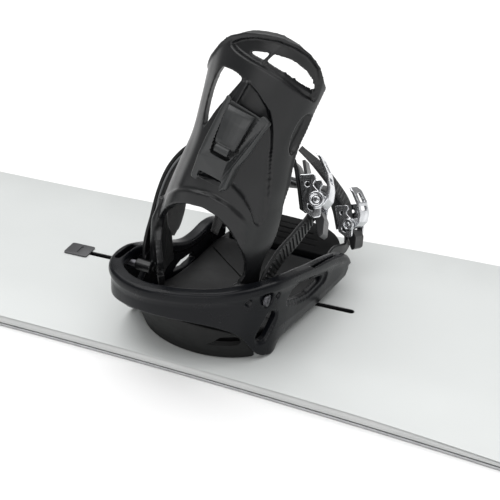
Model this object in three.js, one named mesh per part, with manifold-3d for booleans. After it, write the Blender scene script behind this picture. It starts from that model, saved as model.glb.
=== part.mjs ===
// Snowboard with a pair of strap bindings on a two-slot channel deck.
// Row frame, millimetres: +X along the board towards the nose, +Y towards the toe edge,
// +Z up. The origin is the centre of the flat running base.
// Binding frame (inside each binding group): +X outboard side of the foot, +Y towards the
// toes, +Z up, origin on the top sheet at the centre of the mounting disc.
import * as THREE from 'three';
import { mergeVertices } from 'three/addons/utils/BufferGeometryUtils.js';
import Module from 'manifold-3d';

const wasm = await Module();
wasm.setup();

// ------------------------------------------------------------------ driving dimensions
const BOARD_LENGTH = 1550;        // tip to tail
const CONTACT_HALF = 600;         // half of the flat length between the contact lines
const WIDE_HALF = 575;            // station where the nose and tail are widest
const WAIST = 251;                // width at the waist
const SIDECUT_R = 6000;           // sidecut radius
const TIP_RISE = 45;              // height of the tips above the flat base
const DECK_T = 10;                // thickness underfoot
const WING_T = 5.2;               // thickness at the contact lines
const TIP_T = 4.2;                // thickness at the tips
const EDGE_W = 2.2, EDGE_H = 2.0; // steel edge section
const WALL_W = 7.0;               // sidewall width
const SHEET_T = 0.6;              // top sheet thickness
const SLOT_W = 6.0;               // channel slot width
const SLOT_IN = 92, SLOT_OUT = 364; // channel slot ends, from the board's centre
const PLUG_L = 24, PLUG_W = 20;   // channel plug cover
const STANCE_X = 262;             // half the stance width
const TOE_OUT = 5.3;              // stance angle of each foot, degrees
const DISC_R = 47;                // mounting disc radius
const BOLT_SPAN = 20;             // each disc bolt's distance from the disc centre
const PIVOT_Y = -94, PIVOT_Z = 57;      // highback pivot
const STRAP_Y = -77, STRAP_Z = 54;      // ankle strap mounts
const TOE_Y = 38, TOE_Z = 34;           // toe strap mounts
const LADDER_T = 2.6;             // ladder strap thickness

const rad = THREE.MathUtils.degToRad;
const V = (x, y, z) => new THREE.Vector3(x, y, z);
const lerp = (a, b, t) => a + (b - a) * t;
const smooth = (t) => { const c = Math.min(1, Math.max(0, t)); return c * c * (3 - 2 * c); };
// smooth interpolation through a table of [x, y] rows
function table(rows, x) {
  if (x <= rows[0][0]) return rows[0][1];
  for (let i = 1; i < rows.length; i++) if (x <= rows[i][0]) {
    const [x0, y0] = rows[i - 1], [x1, y1] = rows[i];
    const m = (k) => { const a = rows[Math.max(0, k - 1)], b = rows[Math.min(rows.length - 1, k + 1)]; return (b[1] - a[1]) / (b[0] - a[0]); };
    const h = x1 - x0, t = (x - x0) / h, t2 = t * t, t3 = t2 * t;
    return y0 * (2 * t3 - 3 * t2 + 1) + m(i - 1) * h * (t3 - 2 * t2 + t) + y1 * (-2 * t3 + 3 * t2) + m(i) * h * (t3 - t2);
  }
  return rows[rows.length - 1][1];
}

// ------------------------------------------------------------------ mesh helpers
function geometry(points, faces) {
  const g = new THREE.BufferGeometry();
  const a = new Float32Array(points.length * 3);
  points.forEach((p, i) => { a[3 * i] = p.x; a[3 * i + 1] = p.y; a[3 * i + 2] = p.z; });
  // signed volume decides the winding, so that every face points out
  let vol = 0;
  for (const [i, j, k] of faces) vol += points[i].dot(V(0, 0, 0).crossVectors(points[j], points[k]));
  const idx = [];
  for (const [i, j, k] of faces) vol > 0 ? idx.push(i, j, k) : idx.push(i, k, j);
  g.setAttribute('position', new THREE.BufferAttribute(a, 3));
  g.setIndex(idx);
  return g;
}
function capFaces(ring, base) {
  const n = ring.length, c = V(0, 0, 0), nrm = V(0, 0, 0);
  ring.forEach((p) => c.add(p)); c.divideScalar(n);
  for (let i = 0; i < n; i++) nrm.add(V(0, 0, 0).crossVectors(ring[i].clone().sub(c), ring[(i + 1) % n].clone().sub(c)));
  nrm.normalize();
  const e1 = ring[0].clone().sub(c); e1.addScaledVector(nrm, -e1.dot(nrm)).normalize();
  const e2 = V(0, 0, 0).crossVectors(nrm, e1);
  const flat = ring.map((p) => { const d = p.clone().sub(c); return new THREE.Vector2(d.dot(e1), d.dot(e2)); });
  return THREE.ShapeUtils.triangulateShape(flat, []).map(([i, j, k]) => {
    const s = (flat[j].x - flat[i].x) * (flat[k].y - flat[i].y) - (flat[j].y - flat[i].y) * (flat[k].x - flat[i].x);
    return s >= 0 ? [base + i, base + j, base + k] : [base + i, base + k, base + j];
  });
}
// skin over a row of equal rings; the row is capped, or closed on itself
function loft(rings, closed = false) {
  const n = rings[0].length, pts = [], faces = [];
  rings.forEach((r) => r.forEach((p) => pts.push(p)));
  const m = rings.length;
  for (let i = 0; i < (closed ? m : m - 1); i++) {
    const a = i * n, b = ((i + 1) % m) * n;
    for (let j = 0; j < n; j++) {
      const k = (j + 1) % n;
      faces.push([a + j, a + k, b + k], [a + j, b + k, b + j]);
    }
  }
  if (!closed) {
    capFaces(rings[0], 0).forEach(([i, j, k]) => faces.push([i, k, j]));
    capFaces(rings[m - 1], (m - 1) * n).forEach((f) => faces.push(f));
  }
  return geometry(pts, faces);
}
function solid(geo) {
  let g = geo.clone();
  g.deleteAttribute('normal'); g.deleteAttribute('uv');
  g = mergeVertices(g, 1e-4);
  return new wasm.Manifold(new wasm.Mesh({ numProp: 3, vertProperties: new Float32Array(g.attributes.position.array), triVerts: new Uint32Array(g.index.array) }));
}
function skin(man) {
  const m = man.getMesh(), g = new THREE.BufferGeometry(), np = m.numProp, nv = m.vertProperties.length / np;
  const a = new Float32Array(nv * 3);
  for (let i = 0; i < nv; i++) for (let k = 0; k < 3; k++) a[3 * i + k] = m.vertProperties[i * np + k];
  g.setAttribute('position', new THREE.BufferAttribute(a, 3));
  g.setIndex(Array.from(m.triVerts));
  return g;
}
const at = (geo, x = 0, y = 0, z = 0) => geo.translate(x, y, z);
// plan outline [[x, y], ...] extruded from z0 to z1
function slab(outline, z0, z1, holes = []) {
  const s = new THREE.Shape(outline.map(([x, y]) => new THREE.Vector2(x, y)));
  holes.forEach((h) => s.holes.push(new THREE.Path(h.map(([x, y]) => new THREE.Vector2(x, y)))));
  return at(new THREE.ExtrudeGeometry(s, { depth: z1 - z0, bevelEnabled: false, curveSegments: 6 }), 0, 0, z0);
}
// outline in (y, z) extruded along x from x0 to x1
function sidePrism(outline, x0, x1) {
  const s = new THREE.Shape(outline.map(([y, z]) => new THREE.Vector2(y, z)));
  const g = new THREE.ExtrudeGeometry(s, { depth: x1 - x0, bevelEnabled: false });
  g.applyMatrix4(new THREE.Matrix4().makeBasis(V(0, 1, 0), V(0, 0, 1), V(1, 0, 0)));
  return at(g, x0, 0, 0);
}
// outline in (x, z) extruded along y from y0 to y1
function frontPrism(outline, y0, y1) {
  const s = new THREE.Shape(outline.map(([x, z]) => new THREE.Vector2(x, z)));
  const g = new THREE.ExtrudeGeometry(s, { depth: y1 - y0, bevelEnabled: false });
  g.applyMatrix4(new THREE.Matrix4().makeBasis(V(1, 0, 0), V(0, 0, 1), V(0, -1, 0)));
  return at(g, 0, y1, 0);
}
// cylinder along an axis direction, between two points
function rod(p, q, r, seg = 16, r2 = r) {
  const a = V(...p), b = V(...q), d = b.clone().sub(a), L = d.length();
  const g = new THREE.CylinderGeometry(r2, r, L, seg);
  g.applyQuaternion(new THREE.Quaternion().setFromUnitVectors(V(0, 1, 0), d.clone().normalize()));
  return at(g, (a.x + b.x) / 2, (a.y + b.y) / 2, (a.z + b.z) / 2);
}
// outline of a stadium slot between two points, radius r, as [[a, b], ...]
function stadium(a, b, r, seg = 5) {
  const t = Math.atan2(b[1] - a[1], b[0] - a[0]), out = [];
  for (let i = 0; i <= seg; i++) { const w = t - Math.PI / 2 + Math.PI * i / seg; out.push([b[0] + r * Math.cos(w), b[1] + r * Math.sin(w)]); }
  for (let i = 0; i <= seg; i++) { const w = t + Math.PI / 2 + Math.PI * i / seg; out.push([a[0] + r * Math.cos(w), a[1] + r * Math.sin(w)]); }
  return out;
}
// A strap: ribbon through control rows {p, s, w, t}: centre, width direction, width and
// thickness. Corners are chamfered. seg steps between each pair of rows.
function ribbon(rows, seg = 3) {
  const P = new THREE.CatmullRomCurve3(rows.map((r) => V(...r.p)), false, 'centripetal');
  const n = (rows.length - 1) * seg, rings = [];
  for (let i = 0; i <= n; i++) {
    const f = i / n, k = Math.min(rows.length - 2, Math.floor(f * (rows.length - 1))), t = f * (rows.length - 1) - k;
    const A = rows[k], B = rows[k + 1];
    const p = P.getPoint(f), tan = P.getTangent(f);
    const s = V(...A.s).normalize().lerp(V(...B.s).normalize(), t);
    s.addScaledVector(tan, -s.dot(tan)).normalize();
    const nn = V(0, 0, 0).crossVectors(tan, s).normalize();
    const w = lerp(A.w, B.w, t) / 2, h = lerp(A.t, B.t, t) / 2, c = Math.min(h * 0.7, w * 0.3);
    const q = (x, y) => p.clone().addScaledVector(s, x).addScaledVector(nn, y);
    rings.push([q(-w, -h + c), q(-w + c, -h), q(w - c, -h), q(w, -h + c), q(w, h - c), q(w - c, h), q(-w + c, h), q(-w, h - c)]);
  }
  return loft(rings);
}

// ------------------------------------------------------------------ board
const TIP_X = BOARD_LENGTH / 2;
function outlineHalf(x) {
  const a = Math.abs(x), h = WAIST / 2 + a * a / (2 * SIDECUT_R);
  if (a <= WIDE_HALF) return h;
  const t = Math.min(1, (a - WIDE_HALF) / (TIP_X - WIDE_HALF));
  return h * Math.pow(Math.max(0, 1 - Math.pow(t, 2.5)), 0.52);
}
const baseZ = (x) => { const t = Math.max(0, Math.abs(x) - CONTACT_HALF) / (TIP_X - CONTACT_HALF); return TIP_RISE * t * t; };
function deckT(x) {
  const a = Math.abs(x);
  if (a < 380) return DECK_T;
  if (a < CONTACT_HALF) return lerp(DECK_T, WING_T, smooth((a - 380) / (CONTACT_HALF - 380)));
  return lerp(WING_T, TIP_T, (a - CONTACT_HALF) / (TIP_X - CONTACT_HALF));
}
// the outline as one closed loop of points, with outward normals
function outlineLoop() {
  const quarter = [];
  for (let i = 0; i <= 9; i++) quarter.push(i * WIDE_HALF / 9);
  for (let i = 1; i <= 15; i++) { const t = Math.sin((i / 16) * Math.PI / 2); quarter.push(WIDE_HALF + (TIP_X - WIDE_HALF) * t); }
  const pts = [];
  quarter.forEach((x) => pts.push([x, -outlineHalf(x)]));
  pts.push([TIP_X, 0]);
  [...quarter].reverse().forEach((x) => pts.push([x, outlineHalf(x)]));
  quarter.slice(1).forEach((x) => pts.push([-x, outlineHalf(x)]));
  pts.push([-TIP_X, 0]);
  [...quarter].reverse().slice(0, -1).forEach((x) => pts.push([-x, -outlineHalf(x)]));
  const n = pts.length;
  return pts.map(([x, y], i) => {
    const a = pts[(i + n - 1) % n], b = pts[(i + 1) % n];
    const tx = b[0] - a[0], ty = b[1] - a[1], l = Math.hypot(tx, ty);
    return { x, y, nx: ty / l, ny: -tx / l };
  });
}
const LOOP = outlineLoop();
const inset = (d) => LOOP.map((p) => [p.x - p.nx * d, p.y - p.ny * d]);
function ringSolid(d1, d2, z0, z1) {
  const a = inset(d1), b = inset(d2);
  return loft(LOOP.map((_, i) => {
    const za = baseZ(a[i][0]), zb = baseZ(b[i][0]), ta = deckT(a[i][0]), tb = deckT(b[i][0]);
    return [V(a[i][0], a[i][1], za + z0(ta)), V(b[i][0], b[i][1], zb + z0(tb)), V(b[i][0], b[i][1], zb + z1(tb)), V(a[i][0], a[i][1], za + z1(ta))];
  }), true);
}
// half width of the outline inset by d, at station x
function insetHalf(x, d) {
  const pts = inset(d).filter((p) => p[1] >= 0 && p[0] >= -1).sort((p, q) => p[0] - q[0]);
  const a = Math.abs(x);
  for (let i = 1; i < pts.length; i++) if (a <= pts[i][0]) {
    const t = (a - pts[i - 1][0]) / Math.max(1e-6, pts[i][0] - pts[i - 1][0]);
    return lerp(pts[i - 1][1], pts[i][1], t);
  }
  return 0;
}
function stations(x0, x1, d) {
  const s = inset(d).filter((p) => p[1] >= 0).map((p) => p[0]).filter((x) => x > x0 + 4 && x < x1 - 4);
  return [x0, ...s.sort((a, b) => a - b), x1];
}
function layer(x0, x1, d, z0, z1) {
  return loft(stations(x0, x1, d).map((x) => {
    const h = insetHalf(x, d), b = baseZ(x), t = deckT(x);
    return [V(x, -h, b + z0(t)), V(x, h, b + z0(t)), V(x, h, b + z1(t)), V(x, -h, b + z1(t))];
  }));
}
const slotCut = (s, w, z0, z1, x0, x1) => slab(stadium([s * x0 + s * w / 2, 0], [s * x1 - s * w / 2, 0], w / 2, 8), z0, z1);

const root = new THREE.Group();
function put(group, name, geo, color, rough, metal = 0) {
  const mesh = new THREE.Mesh(geo, new THREE.MeshStandardMaterial({ color, roughness: rough, metalness: metal }));
  mesh.name = name;
  group.add(mesh);
  return mesh;
}
{
  const tip = TIP_X - WALL_W - 1.0;
  put(root, 'running_base', layer(-CONTACT_HALF + 0.2, CONTACT_HALF - 0.2, EDGE_W + 0.3, () => 0, () => 1.2), 0x2b2d30, 0.45);
  let core = solid(layer(-CONTACT_HALF + 0.2, CONTACT_HALF - 0.2, WALL_W + 0.4, () => 1.5, (t) => t - SHEET_T - 0.4));
  for (const s of [-1, 1]) core = core.subtract(solid(slab([[s * 84, -8.4], [s * 372, -8.4], [s * 372, 8.4], [s * 84, 8.4]].map(([x, y]) => [x, s * y]), 2.4, 30)));
  put(root, 'wood_core', skin(core), 0xc9a66b, 0.7);
  for (const [name, s] of [['nose_tip', 1], ['tail_tip', -1]]) {
    const xs = stations(CONTACT_HALF + 0.2, tip - 2, WALL_W + 0.6);
    const rings = xs.map((x) => {
      const h = insetHalf(x, WALL_W + 0.6), b = baseZ(x), t = deckT(x);
      return [V(s * x, -h, b), V(s * x, h, b), V(s * x, h, b + t - SHEET_T - 0.4), V(s * x, -h, b + t - SHEET_T - 0.4)];
    });
    put(root, name, loft(rings), 0x3a3c3f, 0.5);
  }
  put(root, 'sidewall', ringSolid(0.3, WALL_W, () => EDGE_H + 0.35, (t) => t - SHEET_T - 0.4), 0xc8cbca, 0.45);
  put(root, 'steel_edge', ringSolid(0.0, EDGE_W, () => 0, () => EDGE_H), 0x6c6f72, 0.35, 0.9);
  let sheet = solid(layer(-TIP_X + 1.6, TIP_X - 1.6, 0.7, (t) => t - SHEET_T, (t) => t));
  for (const s of [-1, 1]) sheet = sheet.subtract(solid(slotCut(s, SLOT_W + 1, 5, 15, SLOT_IN - 0.5, SLOT_OUT + 0.5)));
  put(root, 'topsheet', skin(sheet), 0xd9dcdb, 0.35);
  for (const [name, s] of [['channel_track_nose', 1], ['channel_track_tail', -1]]) {
    let tr = solid(slab([[s * 84.5, -8 * s], [s * 371.5, -8 * s], [s * 371.5, 8 * s], [s * 84.5, 8 * s]], 2.8, 9.0));
    tr = tr.subtract(solid(slab([[s * 90, -6 * s], [s * 366, -6 * s], [s * 366, 6 * s], [s * 90, 6 * s]], 3.8, 7.4)));
    tr = tr.subtract(solid(slotCut(s, SLOT_W, 6, 12, SLOT_IN, SLOT_OUT)));
    put(root, name, skin(tr), 0x1c1d1f, 0.5, 0.2);
  }
  for (const [name, s] of [['channel_plug_nose', 1], ['channel_plug_tail', -1]]) {
    const c = s * (80.5 + PLUG_L / 2), L = PLUG_L / 2, W = PLUG_W / 2;
    let pl = solid(slab([[c - L + 2, -W], [c + L - 2, -W], [c + L, -W + 2], [c + L, W - 2], [c + L - 2, W], [c - L + 2, W], [c - L, W - 2], [c - L, -W + 2]], DECK_T + 0.3, DECK_T + 1.8));
    const key = solid(slab(stadium([s * 95.5, 0], [s * 101, 0], 2.6, 6), DECK_T - 1.6, DECK_T + 1.0));
    put(root, name, skin(pl.add(key)), 0x2a2c2e, 0.55);
  }
}

// ------------------------------------------------------------------ binding shapes
// band of the chassis: outer line in plan with the heights of its lower and upper edge,
// from the outboard nose, round the heel, to the inboard nose
const BAND = [
  [82, 52, 14, 24], [81, 44, 7, 32], [80, 34, 0.3, 40], [77.5, 18, 0.3, 46.5], [74.5, -2, 0.3, 51.5], [71, -24, 0.3, 56], [67, -50, 0.3, 62.5],
  [63.5, -72, 0.3, 67.5], [60, -85, 4, 70], [53, -98, 17, 71], [42, -111, 30, 71], [28, -123, 38, 70.5], [11, -132, 43, 70], [-8, -138.5, 45.5, 70],
  [-28, -141, 46.5, 69.5], [-46, -137.5, 45.5, 69], [-61, -129, 43, 69], [-71, -117, 39, 68.5], [-75.5, -102, 28, 68], [-75.5, -86, 6, 67], [-74, -74, 0.3, 64],
  [-71.5, -50, 0.3, 55], [-67.5, -28, 0.3, 46], [-64.5, -8, 0.3, 39], [-63.5, 12, 0.3, 37], [-63.2, 34, 0.3, 38], [-62.8, 52, 0.3, 35], [-62, 64, 4, 30], [-61, 74, 10, 22],
];
const BEAD = 10.5, WALL = 7;
function band() {
  const n = BAND.length, rings = [];
  const P = new THREE.CatmullRomCurve3(BAND.map((r) => V(r[0], r[1], 0)), false, 'centripetal');
  for (let i = 0; i < n; i++) {
    const f = i / (n - 1), p = P.getPoint(f), t = P.getTangent(f);
    const o = V(-t.y, t.x, 0).multiplyScalar(-1).normalize(); // outward, left of travel is inside
    const out = o.dot(V(p.x + 5, p.y + 50, 0)) > 0 ? o : o.negate();
    const [, , wb, wt] = BAND[i], h = wt - wb, k = Math.min(1, h / 22);
    const q = (d, z) => V(p.x + out.x * d, p.y + out.y * d, z);
    rings.push([
      q(-0.8, wb), q(0.2, wb + 1.2 * k), q(0.3, wt - 10 * k), q(1.6, wt - 6.5 * k), q(1.3, wt - 2 * k), q(-1.5, wt), q(-8.5, wt - 0.4), q(-BEAD, wt - 2.5 * k), q(-BEAD + 0.3, wt - 7 * k), q(-WALL, wt - 11 * k), q(-WALL, wb),
    ]);
  }
  return loft(rings);
}
function heelCup() {
  // wall under the heel band: leaning out from the sole line to just below the band
  const rows = [[-72, 8], [-66, 20], [-56, 31], [-44, 38], [-30, 42], [-15, 43.5], [0, 43], [15, 40], [28, 36], [40, 30], [51, 20], [60, 9], [66, 3.5]];
  return loft(rows.map(([deg, top]) => {
    const a = rad(deg), s = Math.sin(a), c = Math.cos(a), k = top / 43;
    const b = [-1 + 62 * s, -68 - 46 * c], t = [-4 + (62 + 5 * k) * s, -68 - (46 + 18 * k) * c];
    const q = (f, d, z) => V(lerp(b[0], t[0], f) - d * s, lerp(b[1], t[1], f) - d * c * -1, z);
    const m = top * 0.45 + 0.3;
    return [q(0, 2.2, 0.3), q(0, 0, 0.3 + Math.min(2.2, 0.2 * top)), q(0.35, -1.2, m), q(1, 0, top), q(1, 5, top), q(0.4, 6.5, m), q(0, 7, 0.3)];
  }));
}
// highback shell: half widths, centre line, rear line and depth against height
const HB = {
  uc: [[44, -7], [75, -7], [100, -2], [125, 4], [150, 9], [175, 14], [200, 19], [225, 24], [250, 29], [262, 31]],
  aL: [[44, 44], [75, 47], [100, 50], [125, 48], [150, 43], [175, 39], [200, 40.5], [225, 43], [250, 46], [262, 47]],
  aR: [[44, 48], [75, 50.3], [100, 53.5], [125, 51.5], [150, 47], [175, 44], [200, 43.5], [225, 45], [250, 46], [262, 46]],
  vb: [[44, -112], [75, -113], [100, -112], [125, -111], [150, -108], [175, -102.5], [200, -96], [225, -90], [250, -84], [262, -81]],
  dL: [[44, 46], [75, 48], [100, 48], [125, 46], [150, 42], [175, 39], [200, 38], [262, 38]],
  dR: [[44, 38], [75, 39], [100, 40], [125, 40], [150, 38], [200, 38], [262, 38]],
};
const PHI = rad(80);
function hbPoint(phi, w, off = 0) {
  const s = Math.sin(phi) / Math.sin(PHI), c = (1 - Math.cos(phi)) / (1 - Math.cos(PHI));
  const a = table(phi < 0 ? HB.aL : HB.aR, w) - off, d = table(phi < 0 ? HB.dL : HB.dR, w) - off;
  return V(table(HB.uc, w) + a * s, table(HB.vb, w) + off + d * c, w);
}
const HB_TOP = [[-90, 30], [-90, 200], [-24, 205], [-19, 221], [-12, 234], [-2, 246], [8, 255], [22, 260.5], [34, 261.5], [46, 260.5], [57, 255.5], [66, 246], [72, 234], [76, 221], [90, 205], [90, 30]];
const HB_DWIN = [[18, 246.5], [30, 244.5], [44, 238], [56, 228], [64, 215], [67, 222], [66, 231], [61, 239], [52, 245.5], [41, 249], [30, 249.8]];
const HB_LWIN = [[3, 232.5], [12, 232], [22, 229], [11, 212], [-1, 193], [-10, 176], [-13, 178], [-10, 195], [-8, 213], [-4, 225]];
const HB_ARCH = [[-37, 20], [32, 20], [32.5, 66], [36, 72], [37, 84], [35, 95], [31.5, 106], [24, 121], [16, 129.3], [6, 133.7], [-7, 132.5], [-17, 128], [-27.5, 120], [-38, 110], [-45, 99.5], [-47, 90], [-45.5, 79], [-40, 71], [-37.5, 66]];
function highback() {
  const ws = [], nphi = 16;
  for (let w = 44; w < 262; w += 12) ws.push(w); ws.push(262.5);
  const rings = ws.map((w) => {
    const r = [];
    const wing = -PHI - rad(14) * (1 - smooth((w - 66) / 26));
    for (let i = 0; i <= nphi; i++) r.push(hbPoint(lerp(wing, PHI, i / nphi), w, 0));
    for (let i = nphi; i >= 0; i--) r.push(hbPoint(lerp(wing, PHI, i / nphi), w, 5));
    return r;
  });
  let m = solid(loft(rings));
  m = m.intersect(solid(frontPrism(HB_TOP, -170, -20)));
  m = m.subtract(solid(frontPrism(HB_DWIN, -150, -62)));
  m = m.subtract(solid(frontPrism(HB_LWIN, -150, -62)));
  m = m.subtract(solid(frontPrism(HB_ARCH, -150, -20)));
  // pivot bosses
  m = m.add(solid(rod([27, PIVOT_Y, PIVOT_Z], [37, PIVOT_Y, PIVOT_Z], 6.8, 18)));
  m = m.add(solid(rod([-38, PIVOT_Y, PIVOT_Z], [-62, PIVOT_Y, PIVOT_Z], 6.8, 18)));
  for (const [a, b] of [[20, 60], [-70, -20]]) m = m.subtract(solid(rod([a, PIVOT_Y, PIVOT_Z], [b, PIVOT_Y, PIVOT_Z], 3.3, 14)));
  return skin(m);
}
// soft pad on the inside of the highback panel
function calfPad() {
  const ws = [154, 166, 178, 190, 202, 212], rings = ws.map((w, i) => {
    const lim = rad(lerp(38, 16, i / (ws.length - 1))), r = [], th = (i === 0 || i === ws.length - 1) ? 3 : 5;
    for (let k = 0; k <= 8; k++) r.push(hbPoint(lerp(-lim, lim, k / 8) + rad(4), w, 5.8));
    for (let k = 8; k >= 0; k--) r.push(hbPoint(lerp(-lim, lim, k / 8) * 0.94 + rad(4), w, 5.8 + th));
    return r;
  });
  return loft(rings);
}
// frame of the forward lean adjuster: p along the spine upwards, n out of the back
const LEAN_A = hbPoint(rad(2), 153), LEAN_B = hbPoint(rad(9), 215);
const LEAN_UP = LEAN_B.clone().sub(LEAN_A).normalize();
const LEAN_N = V(0, -1, 0).addScaledVector(LEAN_UP, LEAN_UP.y).normalize();
const LEAN_S = V(0, 0, 0).crossVectors(LEAN_UP, LEAN_N).normalize();
const leanFrame = new THREE.Matrix4().makeBasis(LEAN_S, LEAN_UP, LEAN_N).setPosition(LEAN_A);
// profile in (along, out) swept across by width w
function leanPrism(profile, w) {
  const s = new THREE.Shape(profile.map(([a, b]) => new THREE.Vector2(a, b)));
  const g = new THREE.ExtrudeGeometry(s, { depth: w, bevelEnabled: false });
  g.applyMatrix4(new THREE.Matrix4().makeBasis(V(0, 1, 0), V(0, 0, 1), V(1, 0, 0)));
  g.translate(-w / 2, 0, 0);
  return g.applyMatrix4(leanFrame);
}
function leanBlock() {
  let m = solid(leanPrism([[0, 2.4], [0, 9], [3, 12.5], [22, 14], [26, 12.5], [26, 6.5], [62, 4.6], [64, 2.4]], 27));
  m = m.subtract(solid(leanPrism([[24.5, 5.4], [27, 30], [80, 30], [80, 3.4]], 20.6)));
  return m;
}
function leanLever() {
  return leanPrism([[26.8, 6.6], [29, 12], [56, 10.5], [60.6, 8.2], [60.3, 6.2], [40, 6.1]], 19.6);
}

// ratchet frames: x along the ladder towards the pad, y across, z outwards
function frameOf(o, along, across) {
  const x = V(...along).normalize(), y = V(...across); y.addScaledVector(x, -y.dot(x)).normalize();
  return new THREE.Matrix4().makeBasis(x, y, V(0, 0, 0).crossVectors(x, y)).setPosition(...o);
}
const ANKLE_F = frameOf([56, -9, 113], [-0.38, 0.5, 0.78], [0, -0.8, 0.6]);
const TOE_F = frameOf([64.5, 86, 51], [-0.35, 0.35, 0.87], [-0.1, -0.99, 0.08]);
function inFrame(F, geo) { return geo.applyMatrix4(F); }
// outline in local (x, z) swept across y
function crossPrism(outline, y0, y1) { return frontPrism(outline, y0, y1); }
function ratchetBody(F, w, k) {
  const hw = w / 2 + 1.2;
  let m = solid(crossPrism([[-15 * k, -4.6], [15 * k, -4.6], [15 * k, -2.3], [-15 * k, -2.3]], -hw - 2, hw + 2));
  for (const s of [-1, 1]) {
    const y0 = s > 0 ? hw : -hw - 2, y1 = s > 0 ? hw + 2 : -hw;
    m = m.add(solid(crossPrism([[-15 * k, -4.6], [-22.5 * k, 2.5], [-22.5 * k, 8.5], [-16 * k, 9.5], [-12 * k, 11], [-4 * k, 11.5], [5 * k, 5.5], [9 * k, 9], [14 * k, 8], [15 * k, -4.6]], y0, y1)));
  }
  m = m.add(solid(rod([-8 * k, hw + 2, 7], [-8 * k, hw + 5, 7], 6.6 * k, 18)));
  m = m.add(solid(rod([-8 * k, -hw - 2, 7], [-8 * k, -hw - 4, 7], 5 * k, 14)));
  m = m.add(solid(rod([-8 * k, -hw - 2, 7], [-8 * k, hw + 2, 7], 2.1, 12)));
  m = m.add(solid(rod([-18.6 * k, -hw - 1, 5.6], [-18.6 * k, hw + 1, 5.6], 1.3, 10)));
  return inFrame(F, skin(m));
}
function ratchetLever(F, w, k) {
  const hw = w / 2 - 0.4;
  let m = solid(crossPrism([[-11 * k, 7], [-10.5 * k, 10.4], [-7 * k, 14.2], [2 * k, 16.2], [14 * k, 15.6], [27 * k, 12.4], [33 * k, 9.4], [34 * k, 10.8], [28 * k, 14.6], [15 * k, 18.4], [1 * k, 19], [-8 * k, 16.4], [-12.4 * k, 11.6], [-13.4 * k, 7]].map(([x, z]) => [x, z]), -hw, hw));
  m = m.add(solid(rod([-8 * k, -hw, 7], [-8 * k, hw, 7], 5.2, 16)));
  m = m.subtract(solid(rod([-8 * k, -hw - 5, 7], [-8 * k, hw + 5, 7], 2.5, 12)));
  return inFrame(F, skin(m));
}
function releaseTab(F, w, k) {
  const hw = w / 2 - 1.2;
  let m = solid(crossPrism([[-15.4 * k, 3.6], [-15.4 * k, 7.4], [-17 * k, 8.6], [-24 * k, 10.6], [-36 * k, 8], [-38 * k, 4.6], [-34 * k, 3.4], [-24 * k, 3.2], [-19 * k, 2.8]], -hw, hw));
  m = m.subtract(solid(rod([-18.6 * k, -hw - 4, 5.6], [-18.6 * k, hw + 4, 5.6], 1.7, 10)));
  return inFrame(F, skin(m));
}
const inF = (F, x, y, z) => { const p = V(x, y, z).applyMatrix4(F); return [p.x, p.y, p.z]; };
const dirF = (F, x, y, z) => { const p = V(x, y, z).transformDirection(F); return [p.x, p.y, p.z]; };

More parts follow.
